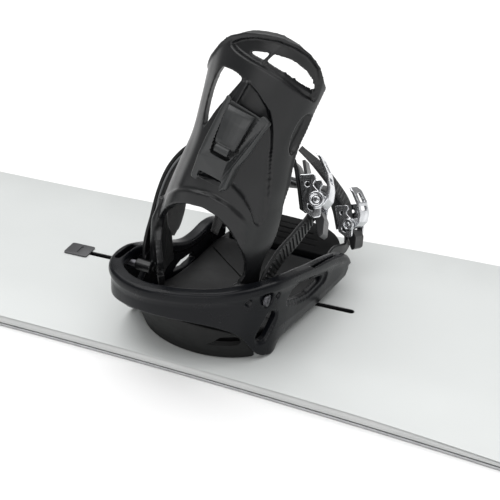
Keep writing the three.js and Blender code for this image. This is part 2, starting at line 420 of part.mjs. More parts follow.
// ------------------------------------------------------------------ one binding
function binding(tag, mirror) {
  const g = new THREE.Group(), flat = new THREE.Group();
  const flip = (geo) => {
    if (!mirror) return geo;
    geo = geo.index ? geo : mergeVertices(geo);
    const p = geo.attributes.position;
    for (let i = 0; i < p.count; i++) p.setX(i, -p.getX(i));
    const ix = geo.index.array;
    for (let i = 0; i < ix.length; i += 3) { const t = ix[i + 1]; ix[i + 1] = ix[i + 2]; ix[i + 2] = t; }
    return geo;
  };
  const add = (name, geo, color, rough, metal = 0, grp = g) => put(grp, `${name}_${tag}`, flip(geo), color, rough, metal);

  // chassis: floor plate with the disc opening, side rails and heel band
  const floor = [[66, 58], [61, 68], [54, 86], [40, 97], [-38, 97], [-52, 86], [-56, 68], [-59, 58], [-60, 20], [-61, -8], [-66, -40], [-67, -74], [-54.5, -74]];
  for (let a = -75; a <= 75; a += 10) floor.push([-1 + 54.2 * Math.sin(rad(a)), -68 - 38.2 * Math.cos(rad(a))]);
  floor.push([52.5, -74], [59, -74], [62, -40], [68, 0]);
  let base = solid(slab(floor, 3, 8)).add(solid(band()));
  base = base.subtract(solid(rod([0, 0, -1], [0, 0, 20], DISC_R + 0.6, 48)));
  const leaf = [[-67, 43], [-60, 48], [-48, 50], [-28, 43.5], [-10, 37], [-13, 32.5], [-30, 31], [-46, 35.5]];
  const lowLeaf = [[3, 20.5], [9, 12], [-8, 11], [-28, 14.5], [-19, 20.5]];
  base = base.subtract(solid(sidePrism(leaf, 50, 90))).subtract(solid(sidePrism(lowLeaf, -90, -50)));
  const slot = stadium([-93, 26], [-81, 41], 4.6);
  base = base.subtract(solid(sidePrism(slot, 44, 90))).subtract(solid(sidePrism(stadium([-79, 26], [-67, 41], 4.6), -90, -50)));
  base = base.subtract(solid(slab([[67.5, -28], [70.2, -28], [76.3, 20], [73.4, 20]], 40, 80)));
  base = base.subtract(solid(slab([[-71.5, -110], [-68.2, -112], [-68.2, -80], [-71.5, -80]], 58, 80)));
  for (const s of [[35, 70, 54.4], [-90, -60, -75]]) {
    base = base.subtract(solid(rod([s[0], PIVOT_Y, PIVOT_Z], [s[1], PIVOT_Y, PIVOT_Z], 3.4, 14)));
    base = base.subtract(solid(rod([s[2], PIVOT_Y, PIVOT_Z], [Math.sign(s[2]) * 92, PIVOT_Y, PIVOT_Z], 6.4, 18)));
  }
  add('baseplate', skin(base), 0x2f3236, 0.42);
  add('heel_cup', (() => {
    let m = solid(heelCup());
    m = m.subtract(solid(frontPrism(stadium([22, 22], [42, 22], 4.2), -112, -96.5)));
    return skin(m);
  })(), 0x1d1f20, 0.7);

  // footbed, in two wedges on the floor, and the toe ramp that slides on the floor
  const bed = [[56, 58], [-50, 58], [-54.6, 50], [-55.6, 0], [-57.5, -20], [-62.5, -50], [-58, -78], [-46, -93], [-30, -99], [-14, -102], [8, -101.5], [28, -96], [42, -86], [50, -74], [58, -50], [66, 0], [68, 40], [64, 52]];
  const bedTop = (x, y) => 12.5 + 4.5 * smooth((-y - 20) / 60) + 1.5 * smooth((y - 10) / 50);
  {
    const ringAt = (k, z) => bed.map(([x, y]) => V(1 + (x - 1) * k, -20 + (y + 20) * k, typeof z === 'number' ? z : z(x * k, y * k)));
    add('footbed', loft([ringAt(1, 8.4), ringAt(1, (x, y) => bedTop(x, y) - 2.2), ringAt(0.965, (x, y) => bedTop(x, y) - 0.5), ringAt(0.9, (x, y) => bedTop(x, y)), ringAt(0.45, (x, y) => bedTop(x, y) - 0.4)]), 0x26282a, 0.85);
  }
  const ramp = [[66, 67], [64, 84], [55, 101], [38, 113], [20, 117], [-22, 117], [-36, 112], [-45.5, 101], [-50, 86], [-50.8, 67]];
  {
    const ringAt = (k, z) => ramp.map(([x, y]) => V(1 + (x - 1) * k, 67 + (y - 67) * k, typeof z === 'number' ? z : z(x * k, 67 + (y - 67) * k)));
    const top = (x, y) => 15 + 7 * smooth((y - 62) / 50);
    let m = solid(loft([ringAt(1, 2.5), ringAt(1, (x, y) => top(x, y) - 2.5), ringAt(0.97, (x, y) => top(x, y) - 0.6), ringAt(0.9, (x, y) => top(x, y))]));
    m = m.subtract(solid(slab([[67, 40], [62, 68.6], [54.8, 87], [40.4, 98], [-38.4, 98], [-52.8, 87], [-59, 68.6], [-67, 40]], 0, 8.4)));
    add('toe_ramp', skin(m), 0x242628, 0.75);
  }

  // highback group
  add('highback', highback(), 0x2c2e31, 0.5);
  add('calf_pad', calfPad(), 0x1e2022, 0.9);
  add('lean_block', skin(leanBlock()), 0x2e3033, 0.45);
  add('lean_lever', leanLever(), 0x3a3d3f, 0.4);
  // pivot screws: head outside the band, shank through band and boss
  const screw = (x0, x1, x2) => solid(rod([x0, PIVOT_Y, PIVOT_Z], [x1, PIVOT_Y, PIVOT_Z], 5.2, 18)).add(solid(rod([x1, PIVOT_Y, PIVOT_Z], [x2, PIVOT_Y, PIVOT_Z], 2.9, 14)));
  add('highback_screw_outer', skin(screw(57.4, 54.8, 30)), 0x3a3c3e, 0.35, 0.6);
  add('highback_screw_inner', skin(screw(-78, -75.4, -47)), 0x3a3c3e, 0.35, 0.6);

  // ankle strap: frame and pad follow one path over the instep
  const D = [0, 0.8, -0.6];
  const rear = [[-60, STRAP_Y, STRAP_Z - 8], [-61, STRAP_Y + 3, 66], [-62.5, -64, 86], [-62, -55, 108], [-57, -46, 129], [-46, -37, 144], [-29, -30, 152], [-8, -24, 154.5], [10, -20, 152], [24, -17, 146]];
  const off = (p, d, n = [0, 0, 0]) => [p[0] + D[0] * d + n[0], p[1] + D[1] * d + n[1], p[2] + D[2] * d + n[2]];
  const sDir = [[0, 1, 0], [0, 1, -0.05], [0, 0.95, -0.3], D, D, D, D, D, D, D];
  const wFrame = [17, 18, 22, 27, 34, 42, 48, 48, 44, 36], oFrame = [0, 2, 8, 13, 18, 22, 25, 25, 23, 19];
  const Fr = ANKLE_F, aD = dirF(Fr, 0, -1, 0);
  const frame = solid(ribbon([...rear.map((p, i) => ({ p: off(p, oFrame[i]), s: sDir[i], w: wFrame[i], t: i < 2 ? 3.4 : 3.6 })),
    { p: inF(Fr, 27, 0, -9.2), s: aD, w: 29, t: 3.4 }, { p: inF(Fr, 11, 0, -7.2), s: aD, w: 26, t: 3.2 }, { p: inF(Fr, -13, 0, -7), s: aD, w: 24, t: 3.2 }], 2));
  add('ankle_strap', skin(frame), 0x1f2123, 0.5);
  const inner = rear.slice(3, 10).map((p, i) => {
    const a = V(...rear[i + 2]), b = V(...(rear[i + 4] || [38, -12, 138])), t = b.sub(a).normalize(), n = V(0, 0, 0).crossVectors(t, V(...D)).normalize();
    if (n.dot(V(-p[0] * 0.02, 0, -1)) < 0) n.negate();
    const o = oFrame[i + 3] + [6, 5, 5, 4, 4, 3, 3][i];
    return { p: off(p, o, [n.x * 6.6, n.y * 6.6, n.z * 6.6]), s: D, w: [50, 56, 62, 66, 66, 60, 48][i], t: [4, 6, 8, 8, 8, 8, 6][i] };
  });
  inner.unshift({ p: [-56.5, -46, 62], s: [0, 1, -0.2], w: 28, t: 2.8 }, { p: [-56.7, -37, 80], s: [0, 0.93, -0.37], w: 44, t: 3.0 });
  add('ankle_pad', ribbon(inner, 2), 0x17181a, 0.9);
  add('ankle_ratchet', ratchetBody(Fr, 23, 1), 0xb9bcbe, 0.25, 0.9);
  add('ankle_lever', ratchetLever(Fr, 23, 1), 0xc4c7c9, 0.22, 0.95);
  add('ankle_release', releaseTab(Fr, 23, 1), 0x18191b, 0.5);
  {
    const sd = dirF(Fr, 0, 1, 0);
    add('ankle_ladder', ribbon([
      { p: [45.8, STRAP_Y - 7, STRAP_Z - 5], s: [0, -0.55, 0.83], w: 15, t: LADDER_T }, { p: [46, STRAP_Y + 4, STRAP_Z + 7], s: [0, -0.55, 0.83], w: 22, t: LADDER_T },
      { p: [50, -58, 75.5], s: [0, -0.6, 0.8], w: 23, t: LADDER_T }, { p: [57, -38, 87.5], s: [-0.05, -0.7, 0.7], w: 22, t: LADDER_T },
      { p: inF(Fr, -16, 0, -0.8), s: sd, w: 22, t: LADDER_T }, { p: inF(Fr, 0, 0, 0), s: sd, w: 23, t: LADDER_T }, { p: inF(Fr, 14, 0, 0), s: sd, w: 23, t: LADDER_T }, { p: inF(Fr, 28, 0, -1), s: sd, w: 17, t: LADDER_T },
    ], 4), 0x1b1c1e, 0.55);
  }
  // toe strap
  const tD = dirF(TOE_F, 0, -1, 0);
  const toePath = [
    { p: [-49.4, TOE_Y - 4, TOE_Z - 6], s: [0, 1, 0], w: 16, t: 3.6 }, { p: [-49.2, TOE_Y + 6, TOE_Z + 6], s: [0, 1, -0.2], w: 22, t: 4 }, { p: [-49.5, 60, 50], s: [0, 0.95, -0.3], w: 36, t: 6 },
    { p: [-46, 74, 62], s: [0, 0.9, -0.42], w: 48, t: 8 }, { p: [-30, 83, 70], s: [0, 0.87, -0.5], w: 54, t: 9 }, { p: [0, 87, 73], s: [0, 0.87, -0.5], w: 56, t: 9 },
    { p: [24, 89, 72], s: [0, 0.9, -0.42], w: 50, t: 8 }, { p: inF(TOE_F, 22, 0, -10), s: tD, w: 34, t: 5 }, { p: inF(TOE_F, 10, 0, -7.8), s: tD, w: 25, t: 4 }, { p: inF(TOE_F, -10, 0, -7.2), s: tD, w: 21, t: 3.4 }];
  add('toe_strap', ribbon(toePath, 2), 0x17181a, 0.85);
  add('toe_ratchet', ratchetBody(TOE_F, 20, 0.82), 0xb9bcbe, 0.25, 0.9);
  add('toe_lever', ratchetLever(TOE_F, 20, 0.82), 0xc4c7c9, 0.22, 0.95);
  add('toe_release', releaseTab(TOE_F, 20, 0.82), 0x18191b, 0.5);
  {
    const sd = dirF(TOE_F, 0, -1, 0);
    add('toe_ladder', ribbon([
      { p: [64, TOE_Y - 8, TOE_Z - 5], s: [0, 1, 0.1], w: 13, t: LADDER_T }, { p: [65, TOE_Y + 7, TOE_Z - 3], s: [0, 0.5, -0.86], w: 17, t: LADDER_T },
      { p: [70.3, 69, 28.8], s: [0, 0.75, -0.66], w: 15.5, t: LADDER_T }, { p: inF(TOE_F, -15, 0, -0.8), s: sd, w: 16.5, t: LADDER_T }, { p: inF(TOE_F, -1, 0, 0), s: sd, w: 19, t: LADDER_T }, { p: inF(TOE_F, 12, 0, 0), s: sd, w: 20, t: LADDER_T },
      { p: [47, 88, 80], s: sd, w: 20, t: LADDER_T }, { p: [30, 85, 98], s: sd, w: 19, t: LADDER_T }, { p: [12, 84, 111], s: sd, w: 13, t: LADDER_T },
    ], 3), 0x1b1c1e, 0.55);
  }

  // disc and its two bolts stay square to the board's channel
  {
    let d = solid(rod([0, 0, 3.2], [0, 0, 7.8], DISC_R, 48));
    for (const s of [-1, 1]) d = d.subtract(solid(rod([s * BOLT_SPAN, 0, -1], [s * BOLT_SPAN, 0, 20], 3.4, 14))).subtract(solid(rod([s * BOLT_SPAN, 0, 5.2], [s * BOLT_SPAN, 0, 20], 8, 20)));
    d = d.add(solid(rod([0, 0, 0.3], [0, 0, 3.4], 30, 32)).subtract(solid(rod([-BOLT_SPAN, 0, -1], [-BOLT_SPAN, 0, 9], 3.4, 14))).subtract(solid(rod([BOLT_SPAN, 0, -1], [BOLT_SPAN, 0, 9], 3.4, 14))));
    add('disc', skin(d), 0x3c3f42, 0.5, 0, flat);
    [['disc_bolt_outer', 1], ['disc_bolt_inner', -1]].forEach(([name, s]) => {
      const x = s * BOLT_SPAN;
      const b = solid(rod([x, 0, 5.5], [x, 0, 8.0], 7.2, 20)).add(solid(rod([x, 0, -4.4], [x, 0, 5.6], 2.7, 14)))
        .add(solid(slab([[x - 6, -5.2], [x + 6, -5.2], [x + 6, 5.2], [x - 6, 5.2]], -5.8, -3.2)));
      add(name, skin(b), 0x9a9da0, 0.3, 0.9, flat);
    });
  }
  const sx = mirror ? -1 : 1;
  g.position.set(sx * STANCE_X, 0, DECK_T);
  g.rotation.z = -sx * rad(TOE_OUT);
  flat.position.set(sx * STANCE_X, 0, DECK_T);
  root.add(g); root.add(flat);
}
binding('nose', false);
binding('tail', true);

export default root;
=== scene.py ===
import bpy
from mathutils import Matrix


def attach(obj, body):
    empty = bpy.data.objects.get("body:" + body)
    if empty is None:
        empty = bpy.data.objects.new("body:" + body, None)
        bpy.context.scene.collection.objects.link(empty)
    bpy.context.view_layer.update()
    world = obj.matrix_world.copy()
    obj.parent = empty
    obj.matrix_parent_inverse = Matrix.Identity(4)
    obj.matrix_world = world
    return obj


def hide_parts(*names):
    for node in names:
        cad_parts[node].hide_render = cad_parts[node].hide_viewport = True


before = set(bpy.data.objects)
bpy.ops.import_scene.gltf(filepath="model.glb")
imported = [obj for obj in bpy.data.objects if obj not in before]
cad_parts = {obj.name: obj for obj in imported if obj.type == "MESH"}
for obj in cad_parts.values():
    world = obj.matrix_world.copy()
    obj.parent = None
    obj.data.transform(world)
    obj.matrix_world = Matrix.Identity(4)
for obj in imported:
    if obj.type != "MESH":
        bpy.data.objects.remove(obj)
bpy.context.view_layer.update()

import math
import bpy
import bmesh
import numpy as np
from mathutils import Vector, Matrix

VOX = 0.8
TH = math.radians(5.3)
STANCE = 262.0
rad = math.radians
C = bpy.context.scene.collection


# ---------------------------------------------------------------- mesh helpers (millimetres, binding frame)
def new_object(name, verts, faces):
    me = bpy.data.meshes.new(name)
    me.from_pydata([tuple(map(float, v)) for v in verts], [], [tuple(int(i) for i in f) for f in faces])
    me.validate()
    me.update()
    o = bpy.data.objects.new(name, me)
    C.objects.link(o)
    bm = bmesh.new()
    bm.from_mesh(me)
    bmesh.ops.recalc_face_normals(bm, faces=bm.faces)
    if bm.calc_volume(signed=True) < 0:
        bmesh.ops.reverse_faces(bm, faces=bm.faces)
    bm.to_mesh(me)
    bm.free()
    return o


def loft_data(rings, closed=False):
    rings = np.asarray(rings, float)
    m, n = rings.shape[:2]
    verts = rings.reshape(-1, 3)
    faces = []
    for i in range(m if closed else m - 1):
        a, b = i * n, ((i + 1) % m) * n
        for j in range(n):
            k = (j + 1) % n
            faces.append((a + j, a + k, b + k, b + j))
    if not closed:
        faces.append(tuple(range(n))[::-1])
        faces.append(tuple((m - 1) * n + j for j in range(n)))
    return verts, faces


def loft(name, rings, closed=False):
    return new_object(name, *loft_data(rings, closed))


def apply_mods(o):
    dg = bpy.context.evaluated_depsgraph_get()
    me = bpy.data.meshes.new_from_object(o.evaluated_get(dg))
    old = o.data
    o.modifiers.clear()
    o.data = me
    bpy.data.meshes.remove(old)
    return o


def drop(o):
    me = o.data
    bpy.data.objects.remove(o)
    bpy.data.meshes.remove(me)


def boolean(o, cutters, op="DIFFERENCE"):
    for c in cutters:
        m = o.modifiers.new("b", "BOOLEAN")
        m.operation = op
        m.solver = "EXACT"
        m.object = c
    apply_mods(o)
    for c in cutters:
        drop(c)
    return o


def soften(o, voxel, smooth=3, factor=0.5):
    m = o.modifiers.new("r", "REMESH")
    m.mode = "VOXEL"
    m.voxel_size = voxel
    m.use_smooth_shade = True
    if smooth:
        s = o.modifiers.new("s", "SMOOTH")
        s.iterations = smooth
        s.factor = factor
    return apply_mods(o)


def prism(name, outline, axis, a, b):
    """outline of (p, q) pairs swept along axis 'x' (p=y, q=z), 'y' (p=x, q=z) or 'z' (p=x, q=y)"""
    rings = []
    for t in (a, b):
        if axis == "x":
            rings.append([(t, p, q) for p, q in outline])
        elif axis == "y":
            rings.append([(p, t, q) for p, q in outline])
        else:
            rings.append([(p, q, t) for p, q in outline])
    return loft(name, rings)


def rod(name, p, q, r, seg=32, r2=None):
    p, q = np.array(p, float), np.array(q, float)
    d = (q - p) / np.linalg.norm(q - p)
    e = np.cross(d, (0, 0, 1.0) if abs(d[2]) < 0.9 else (1.0, 0, 0))
    e /= np.linalg.norm(e)
    f = np.cross(d, e)
    r2 = r if r2 is None else r2
    a = np.linspace(0, 2 * math.pi, seg, endpoint=False)
    return loft(name, [[p + r * (math.cos(t) * e + math.sin(t) * f) for t in a], [q + r2 * (math.cos(t) * e + math.sin(t) * f) for t in a]])


def stadium(a, b, r, seg=10):
    t = math.atan2(b[1] - a[1], b[0] - a[0])
    out = [(b[0] + r * math.cos(w), b[1] + r * math.sin(w)) for w in (t - math.pi / 2 + math.pi * i / seg for i in range(seg + 1))]
    out += [(a[0] + r * math.cos(w), a[1] + r * math.sin(w)) for w in (t + math.pi / 2 + math.pi * i / seg for i in range(seg + 1))]
    return out


def rounded(poly, r, seg=5):
    """polygon with its corners rounded to radius r"""
    out = []
    n = len(poly)
    for i in range(n):
        p0, p1, p2 = (np.array(poly[(i + k) % n], float) for k in (-1, 0, 1))
        a, b = p0 - p1, p2 - p1
        la, lb = np.linalg.norm(a), np.linalg.norm(b)
        k = min(r, la * 0.45, lb * 0.45)
        s, e = p1 + a / la * k, p1 + b / lb * k
        for j in range(seg + 1):
            t = j / seg
            out.append(tuple((1 - t) ** 2 * s + 2 * t * (1 - t) * p1 + t * t * e))
    return out


def crom(rows, sub):
    """smooth curve through rows of numbers; the first three are the point, and set the spacing"""
    R = np.array(rows, float)
    P = R[:, :3]
    d = np.sqrt(np.linalg.norm(np.diff(P, axis=0), axis=1))
    t = np.r_[0, np.cumsum(d)]
    m = np.empty_like(R)
    m[1:-1] = ((R[1:-1] - R[:-2]) / d[:-1, None] * d[1:, None] + (R[2:] - R[1:-1]) / d[1:, None] * d[:-1, None]) / (d[:-1] + d[1:])[:, None]
    m[0] = (R[1] - R[0]) / d[0]
    m[-1] = (R[-1] - R[-2]) / d[-1]
    out = []
    for i in range(len(R) - 1):
        for j in range(sub):
            u = j / sub
            h = d[i]
            out.append(R[i] * (2 * u**3 - 3 * u * u + 1) + m[i] * h * (u**3 - 2 * u * u + u) + R[i + 1] * (-2 * u**3 + 3 * u * u) + m[i + 1] * h * (u**3 - u * u))
    out.append(R[-1])
    return np.array(out)


def tangents(P):
    T = np.gradient(P, axis=0)
    return T / np.linalg.norm(T, axis=1)[:, None]


def unit(v):
    v = np.array(v, float)
    return v / np.linalg.norm(v)


def frame_of(o, along, across):
    x = unit(along)
    y = np.array(across, float)
    y = unit(y - x * y.dot(x))
    return np.array([x, y, np.cross(x, y)]), np.array(o, float)


def in_frame(F, p):
    return np.array(p, float) @ F[0] + F[1]


def move_to(o, F):
    M = Matrix([[F[0][0][i], F[0][1][i], F[0][2][i], F[1][i]] for i in range(3)] + [[0, 0, 0, 1]])
    o.data.transform(M)
    return o


# ---------------------------------------------------------------- materials
def material(name):
    m = bpy.data.materials.new(name)
    m.use_nodes = True
    nt = m.node_tree
    nt.nodes.clear()
    out = nt.nodes.new("ShaderNodeOutputMaterial")
    b = nt.nodes.new("ShaderNodeBsdfPrincipled")
    nt.links.new(b.outputs[0], out.inputs[0])
    tc = nt.nodes.new("ShaderNodeTexCoord")
    return m, nt, b, tc


def noise(nt, tc, scale, detail=3.0, rough=0.5, vec=None):
    n = nt.nodes.new("ShaderNodeTexNoise")
    n.inputs["Scale"].default_value = scale
    n.inputs["Detail"].default_value = detail
    n.inputs["Roughness"].default_value = rough
    nt.links.new(vec or tc.outputs["Object"], n.inputs["Vector"])
    return n


def ramp(nt, src, stops):
    r = nt.nodes.new("ShaderNodeValToRGB")
    el = r.color_ramp.elements
    while len(el) < len(stops):
        el.new(0.5)
    for e, (p, c) in zip(el, stops):
        e.position = p
        e.color = (*c, 1) if len(c) == 3 else c
    nt.links.new(src, r.inputs["Fac"])
    return r


def maprange(nt, src, lo, hi, a, b):
    r = nt.nodes.new("ShaderNodeMapRange")
    r.inputs["From Min"].default_value = lo
    r.inputs["From Max"].default_value = hi
    r.inputs["To Min"].default_value = a
    r.inputs["To Max"].default_value = b
    nt.links.new(src, r.inputs["Value"])
    return r


def bump(nt, bsdf, src, strength, distance, prev=None):
    n = nt.nodes.new("ShaderNodeBump")
    n.inputs["Strength"].default_value = strength
    n.inputs["Distance"].default_value = distance
    nt.links.new(src, n.inputs["Height"])
    if prev is not None:
        nt.links.new(prev.outputs["Normal"], n.inputs["Normal"])
    nt.links.new(n.outputs["Normal"], bsdf.inputs["Normal"])
    return n


def plastic(name, dark, light, rough=(0.38, 0.52), grain=2600.0, strength=0.25, spec=0.45, coat=0.0):
    """moulded plastic: fine spark-eroded grain, broad tone drift and a few rubbed patches"""
    m, nt, b, tc = material(name)
    broad = noise(nt, tc, 14.0, 4.0, 0.55)
    nt.links.new(ramp(nt, broad.outputs["Fac"], [(0.3, dark), (0.72, light)]).outputs["Color"], b.inputs["Base Color"])
    rub = noise(nt, tc, 55.0, 5.0, 0.6)
    nt.links.new(maprange(nt, rub.outputs["Fac"], 0.3, 0.7, rough[0], rough[1]).outputs["Result"], b.inputs["Roughness"])
    fine = noise(nt, tc, grain, 2.0, 0.6)
    g = bump(nt, b, fine.outputs["Fac"], strength, 0.00012)
    bump(nt, b, rub.outputs["Fac"], 0.05, 0.0005, g)
    b.inputs["Specular IOR Level"].default_value = spec
    b.inputs["Coat Weight"].default_value = coat
    b.inputs["Coat Roughness"].default_value = 0.3
    return m


def metal(name, dark, light, rough=(0.14, 0.24), streak=(260.0, 30.0, 30.0)):
    m, nt, b, tc = material(name)
    mp = nt.nodes.new("ShaderNodeMapping")
    mp.inputs["Scale"].default_value = streak
    nt.links.new(tc.outputs["Object"], mp.inputs["Vector"])
    s = noise(nt, tc, 3.0, 3.0, 0.6, mp.outputs["Vector"])
    w = noise(nt, tc, 120.0, 4.0, 0.6)
    nt.links.new(ramp(nt, w.outputs["Fac"], [(0.3, dark), (0.65, light)]).outputs["Color"], b.inputs["Base Color"])
    nt.links.new(maprange(nt, s.outputs["Fac"], 0.3, 0.7, rough[0], rough[1]).outputs["Result"], b.inputs["Roughness"])
    bump(nt, b, s.outputs["Fac"], 0.03, 0.00004)
    b.inputs["Metallic"].default_value = 1.0
    return m


def fabric(name, dark, light, scale=1500.0, strength=0.6):
    m, nt, b, tc = material(name)
    waves = []
    for axis in ("X", "Y", "Z"):
        w = nt.nodes.new("ShaderNodeTexWave")
        w.wave_type = "BANDS"
        w.bands_direction = axis
        w.inputs["Scale"].default_value = scale / 6.0
        w.inputs["Distortion"].default_value = 0.6
        w.inputs["Detail"].default_value = 1.0
        nt.links.new(tc.outputs["Object"], w.inputs["Vector"])
        waves.append(w)
    a = nt.nodes.new("ShaderNodeMath"); a.operation = "MULTIPLY"
    nt.links.new(waves[0].outputs["Fac"], a.inputs[0]); nt.links.new(waves[1].outputs["Fac"], a.inputs[1])
    c = nt.nodes.new("ShaderNodeMath"); c.operation = "MAXIMUM"
    nt.links.new(a.outputs[0], c.inputs[0]); nt.links.new(waves[2].outputs["Fac"], c.inputs[1])
    fuzz = noise(nt, tc, 400.0, 4.0, 0.6)
    mix = nt.nodes.new("ShaderNodeMath"); mix.operation = "MULTIPLY_ADD"
    mix.inputs[1].default_value = 0.5
    nt.links.new(c.outputs[0], mix.inputs[0]); nt.links.new(fuzz.outputs["Fac"], mix.inputs[2])
    nt.links.new(ramp(nt, mix.outputs[0], [(0.3, dark), (1.0, light)]).outputs["Color"], b.inputs["Base Color"])
    g = bump(nt, b, c.outputs[0], strength, 0.0003)
    bump(nt, b, fuzz.outputs["Fac"], 0.3, 0.0004, g)
    b.inputs["Roughness"].default_value = 0.82
    b.inputs["Sheen Weight"].default_value = 0.25
    b.inputs["Sheen Roughness"].default_value = 0.5
    return m


def board_sheet(name):
    m, nt, b, tc = material(name)
    broad = noise(nt, tc, 3.0, 4.0, 0.5)
    nt.links.new(ramp(nt, broad.outputs["Fac"], [(0.3, (0.555, 0.572, 0.566)), (0.7, (0.58, 0.597, 0.591))]).outputs["Color"], b.inputs["Base Color"])
    fine = noise(nt, tc, 1400.0, 3.0, 0.6)
    scuff = noise(nt, tc, 30.0, 6.0, 0.65)
    nt.links.new(maprange(nt, scuff.outputs["Fac"], 0.35, 0.7, 0.34, 0.5).outputs["Result"], b.inputs["Roughness"])
    g = bump(nt, b, fine.outputs["Fac"], 0.12, 0.0001)
    bump(nt, b, scuff.outputs["Fac"], 0.04, 0.0006, g)
    b.inputs["Specular IOR Level"].default_value = 0.4
    b.inputs["Coat Weight"].default_value = 0.15
    b.inputs["Coat Roughness"].default_value = 0.25
    return m


def wood(name):
    m, nt, b, tc = material(name)
    mp = nt.nodes.new("ShaderNodeMapping")
    mp.inputs["Scale"].default_value = (3.0, 60.0, 60.0)
    nt.links.new(tc.outputs["Object"], mp.inputs["Vector"])
    n = noise(nt, tc, 4.0, 6.0, 0.6, mp.outputs["Vector"])
    nt.links.new(ramp(nt, n.outputs["Fac"], [(0.3, (0.42, 0.28, 0.14)), (0.7, (0.66, 0.48, 0.28))]).outputs["Color"], b.inputs["Base Color"])
    bump(nt, b, n.outputs["Fac"], 0.2, 0.0003)
    b.inputs["Roughness"].default_value = 0.6
    return m


MAT = {
    "chassis": plastic("chassis_nylon", (0.0024, 0.0029, 0.0042), (0.0044, 0.0050, 0.0066), (0.24, 0.36), 2200, 0.2, 0.2),
    "highback": plastic("highback_nylon", (0.0050, 0.0053, 0.0060), (0.0082, 0.0086, 0.0094), (0.28, 0.38), 1900, 0.35, 0.42),
    # lean adjuster: its own grey plastic, with the base colour raised further as painted highlight for the light
    # falling on the catch and housing
    "adjuster": plastic("adjuster_plastic_with_painted_light", (0.020, 0.0212, 0.0218), (0.029, 0.0306, 0.0314), (0.3, 0.42), 2600, 0.2, 0.45),
    "cup": plastic("cup_rubber", (0.0030, 0.0032, 0.0032), (0.0050, 0.0053, 0.0053), (0.55, 0.7), 1500, 0.4, 0.25),
    "bed": plastic("footbed_rubber", (0.0085, 0.0088, 0.0092), (0.0135, 0.0138, 0.0144), (0.5, 0.65), 900, 0.5, 0.35),
    "ramp": plastic("ramp_rubber", (0.0030, 0.0032, 0.0036), (0.0056, 0.0059, 0.0064), (0.55, 0.7), 900, 0.5, 0.12),
    "strap": plastic("strap_frame", (0.0035, 0.0037, 0.0042), (0.006, 0.0063, 0.007), (0.34, 0.5), 1800, 0.3, 0.32),
    "ladder": plastic("ladder_nylon", (0.007, 0.0072, 0.0078), (0.012, 0.0123, 0.013), (0.32, 0.46), 2200, 0.2, 0.45),
    "tab": plastic("tab_plastic", (0.007, 0.0072, 0.0078), (0.012, 0.0123, 0.013), (0.32, 0.46), 2200, 0.2, 0.45),
    "disc": plastic("disc_nylon", (0.03, 0.031, 0.034), (0.045, 0.047, 0.05), (0.45, 0.6), 1900, 0.3, 0.4),
    "plug": plastic("plug_plastic", (0.03, 0.031, 0.033), (0.05, 0.051, 0.054), (0.35, 0.5), 1900, 0.3, 0.45),
    "tipblock": plastic("tip_plastic", (0.03, 0.031, 0.033), (0.045, 0.046, 0.049), (0.4, 0.55), 900, 0.2, 0.4),
    "base": plastic("base_polyethylene", (0.012, 0.013, 0.015), (0.022, 0.023, 0.026), (0.25, 0.4), 500, 0.15, 0.5),
    "wall": plastic("sidewall_plastic", (0.50, 0.51, 0.505), (0.56, 0.565, 0.56), (0.4, 0.55), 900, 0.2, 0.4),
    "track": plastic("track_anodised", (0.012, 0.012, 0.013), (0.02, 0.02, 0.022), (0.35, 0.5), 1800, 0.2, 0.5),
    "pad": fabric("pad_fabric", (0.004, 0.004, 0.0045), (0.011, 0.0113, 0.012)),
    "toe_pad": fabric("toe_pad_fabric", (0.004, 0.004, 0.0045), (0.012, 0.0123, 0.013), 1100.0, 0.7),
    "edging": plastic("pad_piping", (0.10, 0.103, 0.108), (0.15, 0.155, 0.16), (0.45, 0.6), 1500, 0.3, 0.4),
    "ratchet": metal("ratchet_metal", (0.50, 0.51, 0.53), (0.72, 0.73, 0.75)),
    "screw": metal("screw_steel", (0.06, 0.06, 0.065), (0.11, 0.11, 0.12), (0.3, 0.45)),
    "bolt": metal("bolt_zinc", (0.42, 0.43, 0.44), (0.6, 0.61, 0.62), (0.25, 0.4)),
    "edge": metal("edge_steel", (0.42, 0.425, 0.43), (0.52, 0.525, 0.53), (0.25, 0.4), (20.0, 900.0, 900.0)),
    "deck": board_sheet("deck_sheet"),
    "wood": wood("core_wood"),
}


def to_world(v, s):
    v = np.asarray(v, float)
    x = s * (v[:, 0] * math.cos(TH) + v[:, 1] * math.sin(TH) + STANCE)
    y = -v[:, 0] * math.sin(TH) + v[:, 1] * math.cos(TH)
    return np.c_[x, y, v[:, 2] + 10.0] / 1000.0


def both(o, name, body, slot, nodes=(), mat=None, smooth=True, angle=None):
    """two copies of a binding piece, one mirrored for the tail side, in the row frame"""
    out = []
    n = len(o.data.vertices)
    co = np.empty(n * 3, np.float32)
    o.data.vertices.foreach_get("co", co)
    co = co.reshape(-1, 3)
    for tag, s in (("nose", 1), ("tail", -1)):
        me = o.data.copy()
        me.name = f"{name}_{tag}_mesh"
        me.vertices.foreach_set("co", to_world(co, s).astype(np.float32).ravel())
        if s < 0:
            me.flip_normals()
        me.materials.clear()
        me.materials.append(MAT[mat or slot])
        me.update()
        if smooth:
            me.shade_smooth()
            if angle:
                me.set_sharp_from_angle(angle=rad(angle))
        p = bpy.data.objects.new(f"{name}_{tag}", me)
        C.objects.link(p)
        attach(p, f"{body}_{tag}")
        if nodes:
            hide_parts(*[f"{k}_{tag}" for k in nodes])
        out.append(p)
    drop(o)
    return out


